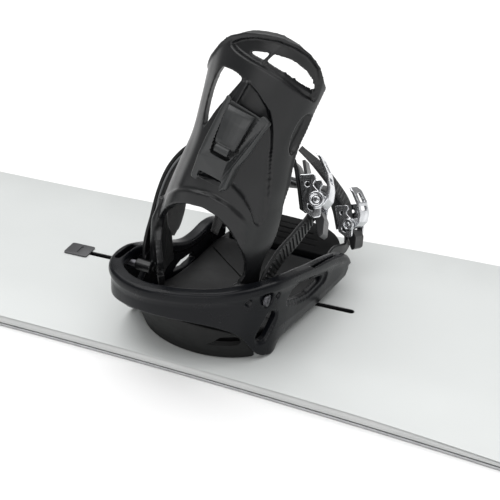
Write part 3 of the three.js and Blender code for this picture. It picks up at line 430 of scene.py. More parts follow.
# ---------------------------------------------------------------- chassis
BAND = [
    (81.5, 49, 18, 28), (81, 43.5, 13, 35), (80, 34, 9, 41), (77.5, 18, 4, 46.5), (74.5, -2, 0.3, 51.5), (71, -24, 0.3, 56), (67, -50, 0.3, 62.5),
    (63.5, -72, 0.3, 67.5), (60, -85, 0.3, 70), (53, -98, 6, 71), (42, -111, 27, 71), (28, -123, 38, 70.5), (11, -132, 43, 70), (-8, -138.5, 45.5, 70),
    (-28, -141, 46.5, 69.5), (-46, -137.5, 45.5, 69), (-61, -129, 43, 69), (-71, -117, 39, 68.5), (-75.5, -102, 28, 68), (-75.5, -86, 6, 67), (-74, -74, 0.3, 64),
    (-71.5, -50, 0.3, 55), (-67.5, -28, 0.3, 46), (-64.5, -8, 0.3, 39), (-63.5, 12, 0.3, 37), (-63.2, 34, 0.3, 38), (-62.8, 52, 0.3, 35), (-62, 64, 4, 30), (-61, 74, 10, 22),
]


def make_chassis():
    rows = crom([(x, y, 0, wb, wt) for x, y, wb, wt in BAND], 5)
    T = tangents(rows[:, :3])
    rings = []
    for (x, y, _, wb, wt), t in zip(rows, T):
        o = np.array([t[1], -t[0]])
        if o @ (x + 5, y + 50) < 0:
            o = -o
        h = wt - wb
        k = min(1.0, h / 22)
        wb = max(wb, 0.3)
        u = 8.0 * max(0.0, 1 - wb / 13) * (float(sstep(y, -88, -60)) if x > 50 else 0)   # the outboard wall draws in towards the deck
        sec = [(-0.8 - u, wb), (-u, wb + 1.0 * k), (0.1 - 0.3 * u, wb + 0.17 * h), (0.1, wb + 0.36 * h), (0.0, wt - 13 * k), (0.7, wt - 9.6 * k), (1.7, wt - 6.8 * k), (1.8, wt - 4 * k), (1.3, wt - 1.6 * k), (-0.2, wt - 0.2),
               (-2.0, wt), (-5.0, wt - 0.1), (-8.2, wt - 0.2), (-9.9, wt - 1.2 * k), (-BEAD, wt - 3.2 * k), (-BEAD + 0.2, wt - 6.5 * k), (-9.0, wt - 9 * k), (-WALL, wt - 11.5 * k), (-WALL - 0.2 * u, wb + 0.3 * h), (-WALL - 0.7 * u, wb)]
        rings.append([(x + o[0] * d, y + o[1] * d, z) for d, z in sec])
    base = loft("chassis", rings)
    floor = [(66, 58), (61, 68), (54, 86), (40, 97), (-38, 97), (-52, 86), (-56, 68), (-59, 58), (-60, 20), (-61, -8), (-66, -40), (-67, -74), (-54.5, -74)]
    floor += [(-1 + 54.2 * math.sin(rad(a)), -68 - 38.2 * math.cos(rad(a))) for a in range(-75, 76, 5)]
    floor += [(52.5, -74), (55.5, -74), (58.5, -40), (64, 0)]
    boolean(base, [prism("f", floor, "z", 3.0, 8.0)], "UNION")
    leaf = rounded([(-67, 43), (-60, 48.5), (-48, 50), (-28, 44.5), (-3, 36.5), (-7, 32.5), (-28, 31), (-46, 35)], 3.2)
    leaf2 = rounded([(-71, 41), (-62, 51.5), (-48, 53.5), (-26, 47.5), (4, 38), (0, 29.5), (-28, 27), (-48, 31.5)], 5)
    # the oval slot in the foot of the outboard rail runs square to the wall there
    def slot_cut(r, reach, depth=None):
        n, tn, c = np.array((0.88, -0.475)), np.array((0.475, 0.88)), np.array((56.6, -91.5))
        a, b = (-reach, reach) if depth is None else (-depth, reach)
        ring = lambda d: [(c[0] + n[0] * d + tn[0] * s, c[1] + n[1] * d + tn[1] * s, z) for s, z in stadium((-4.2, 22.5), (4.8, 37.5), r)]
        return loft("c", [ring(a), ring(b)])

    cut = [rod("c", (0, 0, -2), (0, 0, 20), DISC_R + 0.6, 96), prism("c", leaf, "x", 50, 90), prism("c", rounded([(4, 21), (10, 11.5), (-8, 10.5), (-29, 14.2), (-19, 21)], 3), "x", -90, -50),
           slot_cut(5.0, 14), slot_cut(7.0, 14, 1.4), prism("c", stadium((-79, 26), (-67, 41), 4.6), "x", -90, -50),
           prism("c", [(67.5, -28), (70.2, -28), (76.3, 20), (73.4, 20)], "z", 44, 80), prism("c", stadium((-70, -108), (-70, -82), 2.2), "z", 58, 80),
           rod("c", (35, PIV[1], PIV[2]), (70, PIV[1], PIV[2]), 3.4), rod("c", (-90, PIV[1], PIV[2]), (-60, PIV[1], PIV[2]), 3.4),
           rod("c", (54.0, PIV[1], PIV[2]), (92, PIV[1], PIV[2]), 6.9), rod("c", (-75, PIV[1], PIV[2]), (-92, PIV[1], PIV[2]), 6.4)]
    # shallow recesses on the outer face of the outboard rail: round the leaf window, and two lozenges by the pivot
    def face_cut(poly, depth):
        lo, hi = [], []
        for y, z in densify(poly, 1.5):
            side = rows[rows[:, 0] > 30]
            side = side[np.argsort(side[:, 1])]
            xo = float(np.interp(y, side[:, 1], side[:, 0]))
            lo.append((xo - depth, y, z)); hi.append((xo + 6, y, z))
        return loft("c", [lo, hi])
    cut.append(face_cut(leaf2, 1.8))
    for y, z in ((-106.5, 58.5), (-82.5, 57)):
        cut.append(face_cut([(y - 3.0, z), (y, z + 3.8), (y + 3.0, z), (y, z - 3.8)], 2.4))
    boolean(base, cut)
    soften(base, VOX, 3)
    both(base, "chassis_frame", "chassis", "chassis", ["baseplate"])


def make_cup():
    rows = [(-72, 8), (-66, 20), (-56, 31), (-44, 38), (-30, 42), (-15, 43.5), (0, 43), (15, 40), (28, 36), (40, 31), (48, 24), (54, 15)]
    A = np.array(rows, float)
    rings = []
    for deg in np.linspace(-72, 54, 66):
        top = np.interp(deg, A[:, 0], A[:, 1])
        a, k = rad(deg), top / 43
        s, c = math.sin(a), math.cos(a)
        b, t = (-1 + 62 * s, -68 - 46 * c), (-4 + (62 + 5 * k) * s, -68 - (46 + 18 * k) * c)
        q = lambda f, d, z: (b[0] * (1 - f) + t[0] * f - d * s, b[1] * (1 - f) + t[1] * f + d * c, z)
        m = top * 0.45 + 0.3
        rings.append([q(0, 1.8, 0.3), q(0, 0, 0.3 + min(2.2, 0.2 * top)), q(0.12, -0.6, 0.3 + top * 0.22 + 0.5), q(0.35, -1.2, m), q(0.65, -0.8, top * 0.7 + 0.3), q(1, 0, top), q(1, 5, top), q(0.4, 6.5, m), q(0, 7, 0.3)])
    o = loft("cup", rings)
    boolean(o, [prism("c", stadium((17, 22), (36, 22), 5.2), "y", -118, -92)])
    soften(o, VOX, 2)
    both(o, "heel_cup_shell", "chassis", "cup", ["heel_cup"])


def make_bed():
    bed = [(56, 58), (-50, 58), (-54.6, 50), (-55.6, 0), (-57.5, -20), (-62.5, -50), (-58, -78), (-46, -93), (-30, -99), (-14, -102), (8, -101.5), (28, -96), (42, -86), (50, -74), (58, -50), (66, 0), (68, 40), (64, 52)]
    sm = lambda t: (lambda c: c * c * (3 - 2 * c))(np.clip(t, 0, 1))
    out = np.array(rounded(bed, 9, 6))
    cx, cy = 1.0, -20.0
    rings = []
    levels = [(1.0, None), (1.0, 2.4), (0.985, 1.0), (0.965, 0.3), (0.93, 0.0)] + [(k, -0.1) for k in np.linspace(0.88, 0.06, 20)]
    for k, d in levels:
        ring = []
        for x, y in out:
            X, Y = cx + (x - cx) * k, cy + (y - cy) * k
            top = 12.5 + 4.5 * sm((-Y - 20) / 60) + 1.5 * sm((Y - 10) / 50)
            if d is None:
                z = 8.4
            else:
                z = top - d
                if d < 0:
                    # moulded grooves: a diagonal seam each side
                    for (ax, ay), (bx, by) in (((46, -52), (6, -96)), ((-48, -52), (-8, -96))):
                        L = math.hypot(bx - ax, by - ay)
                        t = np.clip(((X - ax) * (bx - ax) + (Y - ay) * (by - ay)) / L**2, 0, 1)
                        dd = math.hypot(X - ax - t * (bx - ax), Y - ay - t * (by - ay))
                        z -= 1.6 * math.exp(-((dd / 1.3) ** 2))
            ring.append((X, Y, z))
        rings.append(ring)
    o = loft("bed", rings)
    m = o.modifiers.new("s", "SUBSURF"); m.levels = 2; m.render_levels = 2; m.subdivision_type = "SIMPLE"
    apply_mods(o)
    # seams between the pads, cut square
    cut = []
    for (ax, ay), (bx, by) in (((-50, 33.4), (22, -24.5)), ((-52, -58), (56, -58))):
        L = math.hypot(bx - ax, by - ay)
        px, py = -(by - ay) / L * 0.75, (bx - ax) / L * 0.75
        zb = 11.3 if ay > 0 else 13.8
        cut.append(prism("g", [(ax + px, ay + py), (bx + px, by + py), (bx - px, by - py), (ax - px, ay - py)], "z", zb, 30))
    boolean(o, cut)
    both(o, "footbed_pad", "chassis", "bed", ["footbed"], angle=50)


def make_ramp():
    out = np.array(rounded([(66, 67), (64, 84), (55, 101), (38, 113), (20, 117), (-22, 117), (-36, 112), (-45.5, 101), (-50, 86), (-50.8, 67)], 9, 5))
    sm = lambda t: (lambda c: c * c * (3 - 2 * c))(np.clip(t, 0, 1))
    rings = []
    for k, d in [(1.0, None), (1.0, 3.2), (0.99, 1.2), (0.97, 0.4), (0.94, 0.0), (0.88, 0.0), (0.7, 0.0), (0.5, 0.0), (0.3, 0.0), (0.1, 0.0)]:
        ring = []
        for x, y in out:
            X, Y = 1 + (x - 1) * k, 67 + (y - 67) * k
            top = 15 + 7 * sm((Y - 62) / 50)
            ring.append((X, Y, 2.5 if d is None else top - d))
        rings.append(ring)
    o = loft("ramp", rings)
    cut = [prism("c", [(67, 40), (62, 68.6), (54.8, 87), (40.4, 98), (-38.4, 98), (-52.8, 87), (-59, 68.6), (-67, 40)], "z", -1, 8.4)]
    for y in (78, 86, 94, 102):
        w = 40 - max(0, y - 84) * 0.9
        cut.append(loft("c", [[(-w + 2, y - 0.9, 30), (w - 2, y - 0.9, 30), (w - 2, y + 0.9, 30), (-w + 2, y + 0.9, 30)], [(-w, y - 0.9, 15 + 7 * sm((y - 62) / 50) - 1.2), (w, y - 0.9, 15 + 7 * sm((y - 62) / 50) - 1.2), (w, y + 0.9, 15 + 7 * sm((y - 62) / 50) - 1.2), (-w, y + 0.9, 15 + 7 * sm((y - 62) / 50) - 1.2)]]))
    boolean(o, cut)
    soften(o, VOX * 0.9, 2)
    both(o, "toe_ramp_pad", "ramp", "ramp", ["toe_ramp"])


# ---------------------------------------------------------------- highback
HB = {
    "uc": [(44, -7), (75, -7), (100, -2), (125, 4), (150, 9), (175, 14), (200, 19), (225, 24), (250, 29), (262, 31)],
    "aL": [(44, 44), (75, 47), (100, 50), (125, 48), (150, 43), (175, 39), (200, 40.5), (225, 43), (250, 46), (262, 47)],
    "aR": [(44, 48), (75, 50.3), (100, 53.5), (125, 51.5), (150, 47), (175, 44), (200, 46.5), (225, 49), (250, 49.5), (262, 49)],
    "vb": [(44, -112), (75, -113), (100, -112), (125, -111), (150, -108), (175, -102.5), (200, -96), (225, -90), (250, -84), (262, -81)],
    "dL": [(44, 46), (75, 48), (100, 48), (125, 46), (150, 42), (175, 39), (200, 38), (262, 38)],
    "dR": [(44, 38), (75, 39), (100, 40), (125, 40), (150, 38), (200, 38), (262, 38)],
}
PHI = rad(80)
BEAD, WALL, DISC_R = 10.5, 7.0, 47.0
PIV = (0.0, -94.0, 57.0)


def table(rows, x):
    R = np.array(rows, float)
    xs, ys = R[:, 0], R[:, 1]
    x = np.clip(np.asarray(x, float), xs[0], xs[-1])
    m = np.empty(len(xs))
    m[1:-1] = (ys[2:] - ys[:-2]) / (xs[2:] - xs[:-2])
    m[0] = (ys[1] - ys[0]) / (xs[1] - xs[0])
    m[-1] = (ys[-1] - ys[-2]) / (xs[-1] - xs[-2])
    i = np.clip(np.searchsorted(xs, x, "right") - 1, 0, len(xs) - 2)
    h = xs[i + 1] - xs[i]
    t = (x - xs[i]) / h
    return ys[i] * (2 * t**3 - 3 * t**2 + 1) + m[i] * h * (t**3 - 2 * t**2 + t) + ys[i + 1] * (-2 * t**3 + 3 * t**2) + m[i + 1] * h * (t**3 - t**2)


def hb_point(phi, w, off=0.0):
    phi, w, off = np.broadcast_arrays(np.asarray(phi, float), np.asarray(w, float), np.asarray(off, float))
    s, c = np.sin(phi) / math.sin(PHI), (1 - np.cos(phi)) / (1 - math.cos(PHI))
    a = np.where(phi < 0, table(HB["aL"], w), table(HB["aR"], w)) - off
    d = np.where(phi < 0, table(HB["dL"], w), table(HB["dR"], w)) - off
    return np.stack([table(HB["uc"], w) + a * s, table(HB["vb"], w) + off + d * c, w], -1)


def uw_to_phi(poly):
    out = []
    fine = []
    for k in range(len(poly)):
        a, b = np.array(poly[k], float), np.array(poly[(k + 1) % len(poly)], float)
        m = max(1, int(np.linalg.norm(b - a) / 1.5))
        fine += [tuple(a + (b - a) * t / m) for t in range(m)]
    for u, w in fine:
        a = float(table(HB["aL"] if u < table(HB["uc"], w) else HB["aR"], w))
        s = (u - float(table(HB["uc"], w))) / a * math.sin(PHI)
        out.append((math.degrees(math.asin(np.clip(s, -1, 1))) if abs(s) <= 1 else math.copysign(95, s), w))
    return out


KX = 0.82  # millimetres of arc for each degree


def densify(poly, step=1.5, closed=True):
    P = np.array(poly, float)
    out = []
    n = len(P)
    for i in range(n if closed else n - 1):
        a, b = P[i], P[(i + 1) % n]
        k = max(1, int(np.hypot((b[0] - a[0]) * KX, b[1] - a[1]) / step))
        for j in range(k):
            out.append(a + (b - a) * j / k)
    if not closed:
        out.append(P[-1])
    return np.array(out)


def smooth_poly(poly, it=6, closed=True, step=2.0):
    P = densify(poly, step, closed)
    for _ in range(it):
        if closed:
            P = (np.roll(P, 1, 0) + P * 2 + np.roll(P, -1, 0)) / 4
        else:
            Q = P.copy(); Q[1:-1] = (P[:-2] + 2 * P[1:-1] + P[2:]) / 4; P = Q
    return P


def seg_dist(X, Y, poly, closed=True):
    """distance, nearest point and inside test in (arc mm, height) from a polygon given in (degrees, height)"""
    P = np.array(poly, float) * (KX, 1.0)
    n = len(P)
    best = np.full(X.shape, 1e9); nx = np.zeros(X.shape); ny = np.zeros(X.shape)
    inside = np.zeros(X.shape, bool)
    for i in range(n if closed else n - 1):
        ax, ay = P[i]; bx, by = P[(i + 1) % n]
        dx, dy = bx - ax, by - ay
        L = dx * dx + dy * dy + 1e-12
        t = np.clip(((X - ax) * dx + (Y - ay) * dy) / L, 0, 1)
        px, py = ax + t * dx, ay + t * dy
        d = np.hypot(X - px, Y - py)
        m = d < best
        best[m] = d[m]; nx[m] = px[m]; ny[m] = py[m]
        if closed:
            cr = (ay > Y) != (by > Y)
            with np.errstate(divide="ignore", invalid="ignore"):
                xi = (bx - ax) * (Y - ay) / (by - ay if by != ay else 1e-12) + ax
            inside ^= cr & (X < xi)
    return best, nx, ny, inside


def sstep(x, a, b):
    t = np.clip((x - a) / (b - a), 0, 1)
    return t * t * (3 - 2 * t)


TOP_UW = [(-90, 30), (-90, 200), (-24, 205), (-19, 221), (-12, 234), (-2, 246), (8, 255), (22, 260.5), (34, 261.5), (46, 260.5), (57, 255.8), (63.5, 250.5), (68.2, 243.5), (70.8, 235.5), (71.8, 227), (72.2, 219), (76, 210), (90, 195), (90, 30)]
ARCH_UW = [(-37, 20), (32, 20), (32.5, 66), (36, 72), (37, 84), (35, 95), (31.5, 106), (24, 121), (16, 129.3), (6, 133.7), (-7, 132.5), (-17, 128), (-27.5, 120), (-38, 110), (-45, 99.5), (-47, 90), (-45.5, 79), (-40, 71), (-37.5, 66)]
CROSS_LOW = [(-43.8, 234.1), (-27.5, 235.1), (-13.6, 233.8), (-1.4, 230.9), (13.4, 221.9), (28.0, 209.9), (37.4, 197.8), (46.6, 181.4), (53.6, 161.5), (57.5, 141.0), (57.3, 128.5)]
D_TOP = [(-6.2, 246.7), (1.9, 247.8), (11.9, 248.1), (30.9, 244.7), (44.2, 238.8), (55.9, 231.6), (66.0, 222.5), (69.5, 217.5)]
D_LOW = [(69.0, 216.6), (54.1, 223.1), (30.1, 234.5), (10.0, 242.2), (-5.9, 246.1)]
L_WIN = [(-27.6, 233.7), (-13.2, 233.0), (-1.6, 230.0), (-9.9, 217.8), (-20.1, 203.8), (-30.5, 187.1), (-35.4, 196.4), (-37.2, 204.6), (-37.0, 213.8), (-33.7, 224.7)]
WEB = [(-27.3, 249.6), (-17.9, 254.4), (-3.2, 257.8), (14.7, 257.6), (31.6, 253.7), (45.8, 247.4), (58.5, 238.4), (66.4, 229.0), (70, 219), (71, 212), (54, 219), (30, 231), (10, 239), (-6, 243), (-20, 246.5)]
OVAL = [(76, 203.6), (66, 205), (60, 199.6), (61.0, 188.7), (66.0, 176.5), (73.5, 169.6), (77.5, 173), (78.5, 186), (78.0, 196)]
PANEL = [(-0.6, 229.3), (-1.4, 230.6), (13.4, 221.9), (28.0, 209.9), (37.4, 197.8), (46.6, 181.4), (53.6, 161.5), (57.5, 141.0), (57.3, 126), (52, 117), (46, 122), (40, 134), (30, 146), (18, 154), (0, 157), (-16, 155), (-22, 160), (-16.8, 187.6), (-6.9, 211.9)]
FLANGE = [(-0.6, 229.3), (4.8, 228.2), (-0.1, 209.3), (-7.7, 185.7), (-13, 165), (-14, 157), (-22, 158), (-16.8, 187.6), (-6.9, 211.9)]


def collar(x0, x1, r_out, r_in, seg=40):
    """a hollow boss round the pivot line"""
    rings = []
    for t in np.linspace(0, 2 * math.pi, seg, endpoint=False):
        c, s = math.cos(t), math.sin(t)
        rings.append([(x, PIV[1] + r * c, PIV[2] + r * s) for x, r in ((x0, r_in), (x0, r_out), (x1, r_out), (x1, r_in))])
    return loft("collar", rings, closed=True)


def add_shells(o, parts):
    """closed shells added to a mesh; a voxel remesh afterwards fuses them"""
    bm = bmesh.new()
    bm.from_mesh(o.data)
    for p in parts:
        bm.from_mesh(p.data)
        drop(p)
    bm.to_mesh(o.data)
    bm.free()
    return o


def through(phi, w, t):
    """the angle on the inner face that lies straight in front of a point of the outer face"""
    a0 = np.where(phi < 0, table(HB["aL"], w), table(HB["aR"], w))
    k = np.sin(phi) * a0 / (a0 - t)
    return np.where(np.abs(k) < 0.985, np.arcsin(np.clip(k, -0.985, 0.985)), np.sign(phi) * 1.3963)


def make_highback():
    step = 0.9
    nphi, nw = int(160 * KX / step), int(218 / step)
    ph, w = np.meshgrid(np.linspace(-80, 80, nphi + 1), np.linspace(44, 262, nw + 1), indexing="ij")
    X, Y = ph * KX, w.copy()
    holes = [smooth_poly(D_TOP + D_LOW, 2), smooth_poly(L_WIN, 2)]
    top = smooth_poly(uw_to_phi(TOP_UW), 3)
    arch = smooth_poly(uw_to_phi(ARCH_UW), 3)
    # corners of the grid snap to the outlines, so that the cuts come out clean
    for poly in holes + [arch, top]:
        d, nx, ny, _ = seg_dist(X, Y, poly)
        m = d < 0.62 * step
        X[m], Y[m] = nx[m], ny[m]
    X = np.clip(X, -80 * KX, 80 * KX)
    keep = np.ones((nphi, nw), bool)
    cx = (X[:-1, :-1] + X[1:, :-1] + X[:-1, 1:] + X[1:, 1:]) / 4
    cy = (Y[:-1, :-1] + Y[1:, :-1] + Y[:-1, 1:] + Y[1:, 1:]) / 4
    for poly in holes + [arch]:
        keep &= ~seg_dist(cx, cy, poly)[3]
    keep &= seg_dist(cx, cy, top)[3]
    mid = hb_point(np.radians(cx / KX), cy, 1.0)
    keep &= np.hypot(mid[..., 1] - PIV[1], mid[..., 2] - PIV[2]) > 4.2
    # relief: proud frame, sunk centre panel and upper web
    dp, _, _, inp = seg_dist(X, Y, smooth_poly(PANEL, 2))
    df, _, _, inf = seg_dist(X, Y, smooth_poly(FLANGE, 1))
    dw_, _, _, inw = seg_dist(X, Y, smooth_poly(WEB, 2))
    do_, _, _, ino = seg_dist(X, Y, smooth_poly(OVAL, 4))
    da, _, _, _ = seg_dist(X, Y, arch)
    dt, _, _, _ = seg_dist(X, Y, top)
    dh = np.minimum(seg_dist(X, Y, holes[0])[0], seg_dist(X, Y, holes[1])[0])
    side = 80 * KX - np.abs(X)
    depth = 4.3 + 0.7 * sstep(Y, 130, 165)
    left = 1 - sstep(X, -48 * KX, -30 * KX)
    h = np.full(X.shape, 1.6) - 1.2 * left
    h -= depth * np.where(inp, sstep(dp, 0.0, 0.9), 0)
    h += np.where(inf, (depth + 1.2) * sstep(df, 0.0, 0.8), 0)
    h -= 4.4 * np.where(inw, sstep(dw_, 0.0, 0.9), 0)
    h -= 3.4 * np.where(ino, sstep(do_, 0.2, 1.8), 0)
    edge = np.minimum(np.where(left > 0.4, 99, side), dt)
    # the outboard wing is plain and thinner, where the ankle ladder runs beside it
    wing = sstep(X, 38 * KX, 54 * KX) * (1 - sstep(Y, 128, 150))
    h -= 2.4 * wing
    h += 1.2 * (1 - sstep(edge, 1.2, 2.6)) * (1 - wing) * (1 - sstep(X, 30 * KX, 55 * KX) * sstep(Y, 185, 205))                              # lip round the outline
    h += 2.4 * sstep(da, 0.0, 1.2) * (1 - sstep(da, 11.0, 13.0)) * sstep(Y, 104, 124) * (1 - sstep(np.abs(X + 5), 30, 42))   # raised band over the heel arch
    h = np.maximum(h, -2.2)                                              # the wall is nowhere thinner than 2.8 mm
    t_in = np.full(X.shape, 5.0) + 1.2 * (1 - sstep(edge, 3, 6))
    phi = np.radians(X / KX)
    # the left side runs on forwards beside the heel
    fl = 14 * (1 - sstep(Y, 66, 92))
    phi = np.where(X < -60 * KX, -np.radians(60 + (-X / KX - 60) * (20 + fl) / 20), phi)
    outer = hb_point(phi, Y, -h)
    pin = np.where(dh < 9, phi + (through(phi, Y, t_in) - phi) * (1 - sstep(dh, 3, 9)), phi)
    pin = np.where(np.abs(phi) > rad(79), phi, pin)
    inner = hb_point(pin, Y, t_in)
    n = outer.shape[0] * outer.shape[1]
    idx = np.arange(n).reshape(outer.shape[:2])
    I, J = np.nonzero(keep)
    q = np.stack([idx[I, J], idx[I + 1, J], idx[I + 1, J + 1], idx[I, J + 1]], -1)
    faces = [tuple(f) for f in q] + [tuple(f[::-1] + n) for f in q]
    count = {}
    for f in q:
        for a, b in ((f[0], f[1]), (f[1], f[2]), (f[2], f[3]), (f[3], f[0])):
            count[(a, b)] = count.get((a, b), 0) + 1
    for (a, b) in count:
        if (b, a) not in count:
            faces.append((b, a, a + n, b + n))
    verts = np.concatenate([outer.reshape(-1, 3), inner.reshape(-1, 3)])
    o = new_object("hb", verts, faces)
    bm = bmesh.new(); bm.from_mesh(o.data)
    bmesh.ops.delete(bm, geom=[v for v in bm.verts if not v.link_faces], context="VERTS")
    bm.to_mesh(o.data); bm.free()
    a, b = hb_point(rad(9.0), 240.6, 2.6), hb_point(rad(19.0), 253.5, 3.4)
    # the foot of the medial wing is a thick rounded lobe
    ear = []
    for z in np.linspace(48, 114, 16):
        e = 1.0 - 0.62 * sstep(z, 92, 114) - 0.25 * (1 - sstep(z, 48, 56))
        cx, cy = -49.2 + 2.4 * sstep(z, 92, 114), -78.0 + 2.0 * sstep(z, 60, 100)
        ear.append([(cx + 5.4 * e * math.cos(t), cy + 10.5 * e * math.sin(t), z) for t in np.linspace(0, 2 * math.pi, 24, endpoint=False)])
    parts = [loft("ear", ear), collar(27, 37, 6.8, 3.3), collar(-60, -46, 4.9, 3.3), rod("strut", a, b, 1.35, 12)]
    # a thin upright rib that runs up inside the sunk panel, beside the housing
    for p0, p1 in (((3.0, 228.0), (-11.5, 163.0)),):
        pts = [hb_point(rad(p0[0] + (p1[0] - p0[0]) * t), p0[1] + (p1[1] - p0[1]) * t, -2.4) for t in np.linspace(0, 1, 9)]
        for u, v in zip(pts[:-1], pts[1:]):
            parts.append(rod("rib", u, v + (v - u) * 0.08, 1.1, 10))
    add_shells(o, parts)
    soften(o, VOX, 2)
    both(o, "highback_shell", "back", "highback", ["highback"])


def make_calf_pad():
    ws = np.linspace(153, 213, 31)
    rings = []
    for i, w in enumerate(ws):
        f = i / 30
        e = 1 - abs(2 * f - 1) ** 6
        lim = rad(38 + (16 - 38) * f) * (0.9 + 0.1 * e)
        ring = []
        ks = np.linspace(-1, 1, 25)
        for k in ks:
            ring.append(hb_point(lim * k + rad(4), w, 5.8))
        for k in ks[::-1]:
            cr = (1 - abs(k) ** 4) * (0.35 + 0.65 * e)
            groove = sum(0.9 * math.exp(-(((w - g) / 1.4) ** 2)) for g in (168, 183, 198))
            ring.append(hb_point(lim * k * 0.97 + rad(4), w, 6.6 + 4.6 * cr - groove * cr))
        rings.append(ring)
    o = loft("calf", rings)
    for p in both(o, "calf_cushion", "back", "pad", ["calf_pad"]):
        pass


# ---------------------------------------------------------------- forward lean adjuster
LA = hb_point(rad(2), 153.0)
LB = hb_point(rad(9), 215.0)
L_UP = unit(LB - LA)
L_N = unit(np.array((0, -1.0, 0)) + L_UP * L_UP[1])
L_S = unit(np.cross(L_UP, L_N))
LEAN_F = (np.array([L_S, L_UP, L_N]), LA)


def make_lean():
    # plan (across, along) of the housing: block below, two arms beside the catch
    block = rounded([(-15.5, -1), (10.5, -1.5), (13.5, 3), (14, 21), (17.5, 32), (20.5, 52), (22.5, 60), (16, 63), (13.5, 56), (10.6, 30), (8.6, 23), (-9.0, 23), (-10.4, 30), (-11.2, 56), (-12.6, 64), (-15.5, 64), (-16, 30), (-15.5, 20)], 1.6, 3)
    P = np.array(block)
    prof = lambda y: np.interp(y, [-2, 0.5, 4, 20, 26, 50, 64], [7.5, 9.5, 12.6, 14.0, 12.0, 8.2, 4.5])
    rings = [[(x, y, 2.2) for x, y in P], [(x, y, prof(y) - 1.4) for x, y in P], [(x + (-1.3 if x > 0 else 1.3) * 0.8, y, prof(y) - 0.3) for x, y in P], [(x + (-2.6 if x > 0 else 2.6) * 0.8, y, prof(y)) for x, y in P]]
    o = loft("lean", rings)
    floor = prism("f", [(-12, 20), (12, 20), (14, 60), (-13, 62)], "z", 2.2, 3.4)
    boolean(o, [floor], "UNION")
    boolean(o, [loft("c", [[(-11.5, -4, 2.0), (9.5, -4, 2.0), (9.5, 7.5, 2.0), (-11.5, 7.5, 2.0)], [(-10.5, -4, 8.4), (8.5, -4, 8.4), (8.5, 4.0, 8.4), (-10.5, 4.0, 8.4)]])])
    boolean(o, [prism("c", rounded([(-11, 2.4), (7.5, 2.4), (8, 7.2), (-10.5, 7.2)], 1.0), "z", 5.5, 30)])
    soften(o, VOX * 0.65, 2)
    move_to(o, LEAN_F)
    both(o, "lean_housing", "lean", "adjuster", ["lean_block"])
    # the catch, hinged at its upper end
    rings = []
    for y in np.linspace(30.0, 59.4, 24):
        f = (y - 27) / 33.4
        hw = 8.0 + 3.0 * f
        top = np.interp(y, [30, 31.5, 35, 50, 56.5, 59.4], [9.0, 11.8, 12.6, 11.4, 9.6, 7.8])
        low = np.interp(y, [27, 40, 60.4], [7.4, 6.4, 6.3])
        cr = 0.9
        rings.append([(-hw, y, low), (-hw, y, top - 1.6), (-hw + 0.7, y, top - 0.6), (-hw + 2.0, y, top - 0.1), (-hw * 0.4, y, top + cr * 0.6), (0, y, top + cr * 0.75), (hw * 0.4, y, top + cr * 0.6), (hw - 2.0, y, top - 0.1), (hw - 0.7, y, top - 0.6), (hw, y, top - 1.6), (hw, y, low)])
    o = loft("catch", rings)
    boolean(o, [rod("c", (-5.5, 29.0, 12.7), (5.5, 29.0, 12.7), 3.2)])
    soften(o, VOX * 0.5, 2)
    move_to(o, LEAN_F)
    both(o, "lean_catch_plate", "lean_catch", "adjuster", ["lean_lever"])


# ---------------------------------------------------------------- straps
def ribbon_rings(rows, sub, section):
    """rows: (x, y, z, sx, sy, sz, width, thickness); section(i, f) gives (a, b) pairs in half widths and half thicknesses"""
    R = crom(rows, sub)
    T = tangents(R[:, :3])
    rings = []
    n = len(R)
    L = np.r_[0, np.cumsum(np.linalg.norm(np.diff(R[:, :3], axis=0), axis=1))]
    for i in range(n):
        s = R[i, 3:6] - T[i] * (R[i, 3:6] @ T[i])
        s = unit(s)
        nn = unit(np.cross(T[i], s))
        w, h = R[i, 6] / 2, R[i, 7] / 2
        rings.append([R[i, :3] + s * a + nn * b for a, b in section(i / (n - 1), L[i], L[-1], w, h)])
    return np.array(rings), R, T


def flat_section(f, l, L, w, h):
    c = min(h * 0.8, w * 0.3)
    return [(-w, -h + c), (-w + c * 0.35, -h + c * 0.3), (-w + c, -h), (0, -h), (w - c, -h), (w - c * 0.35, -h + c * 0.3), (w, -h + c), (w, h - c), (w - c * 0.35, h - c * 0.3), (w - c, h), (0, h), (-w + c, h), (-w + c * 0.35, h - c * 0.3), (-w, h - c)]


def make_pivot_screws():
    for name, x0, x1, x2, sgn in (("pivot_screw_outer", 57.4, 54.8, 30, 1), ("pivot_screw_inner", -78, -75.4, -47, -1)):
        o = rod("s", (x0, PIV[1], PIV[2]), (x1, PIV[1], PIV[2]), 4.9, 48, 5.3)
        boolean(o, [rod("u", (x1 + sgn * 0.4, PIV[1], PIV[2]), (x2, PIV[1], PIV[2]), 2.9, 32)], "UNION")
        hexa = [(PIV[1] + 2.5 * math.cos(k * math.pi / 3), PIV[2] + 2.5 * math.sin(k * math.pi / 3)) for k in range(6)]
        boolean(o, [prism("c", hexa, "x", min(x0 + sgn * 2, x0 - sgn * 1.7), max(x0 + sgn * 2, x0 - sgn * 1.7))])
        b = o.modifiers.new("b", "BEVEL"); b.width = 0.35; b.segments = 2; b.limit_method = "ANGLE"
        apply_mods(o)
        both(o, name, "chassis", "screw", ["highback_screw_outer" if sgn > 0 else "highback_screw_inner"], angle=35)


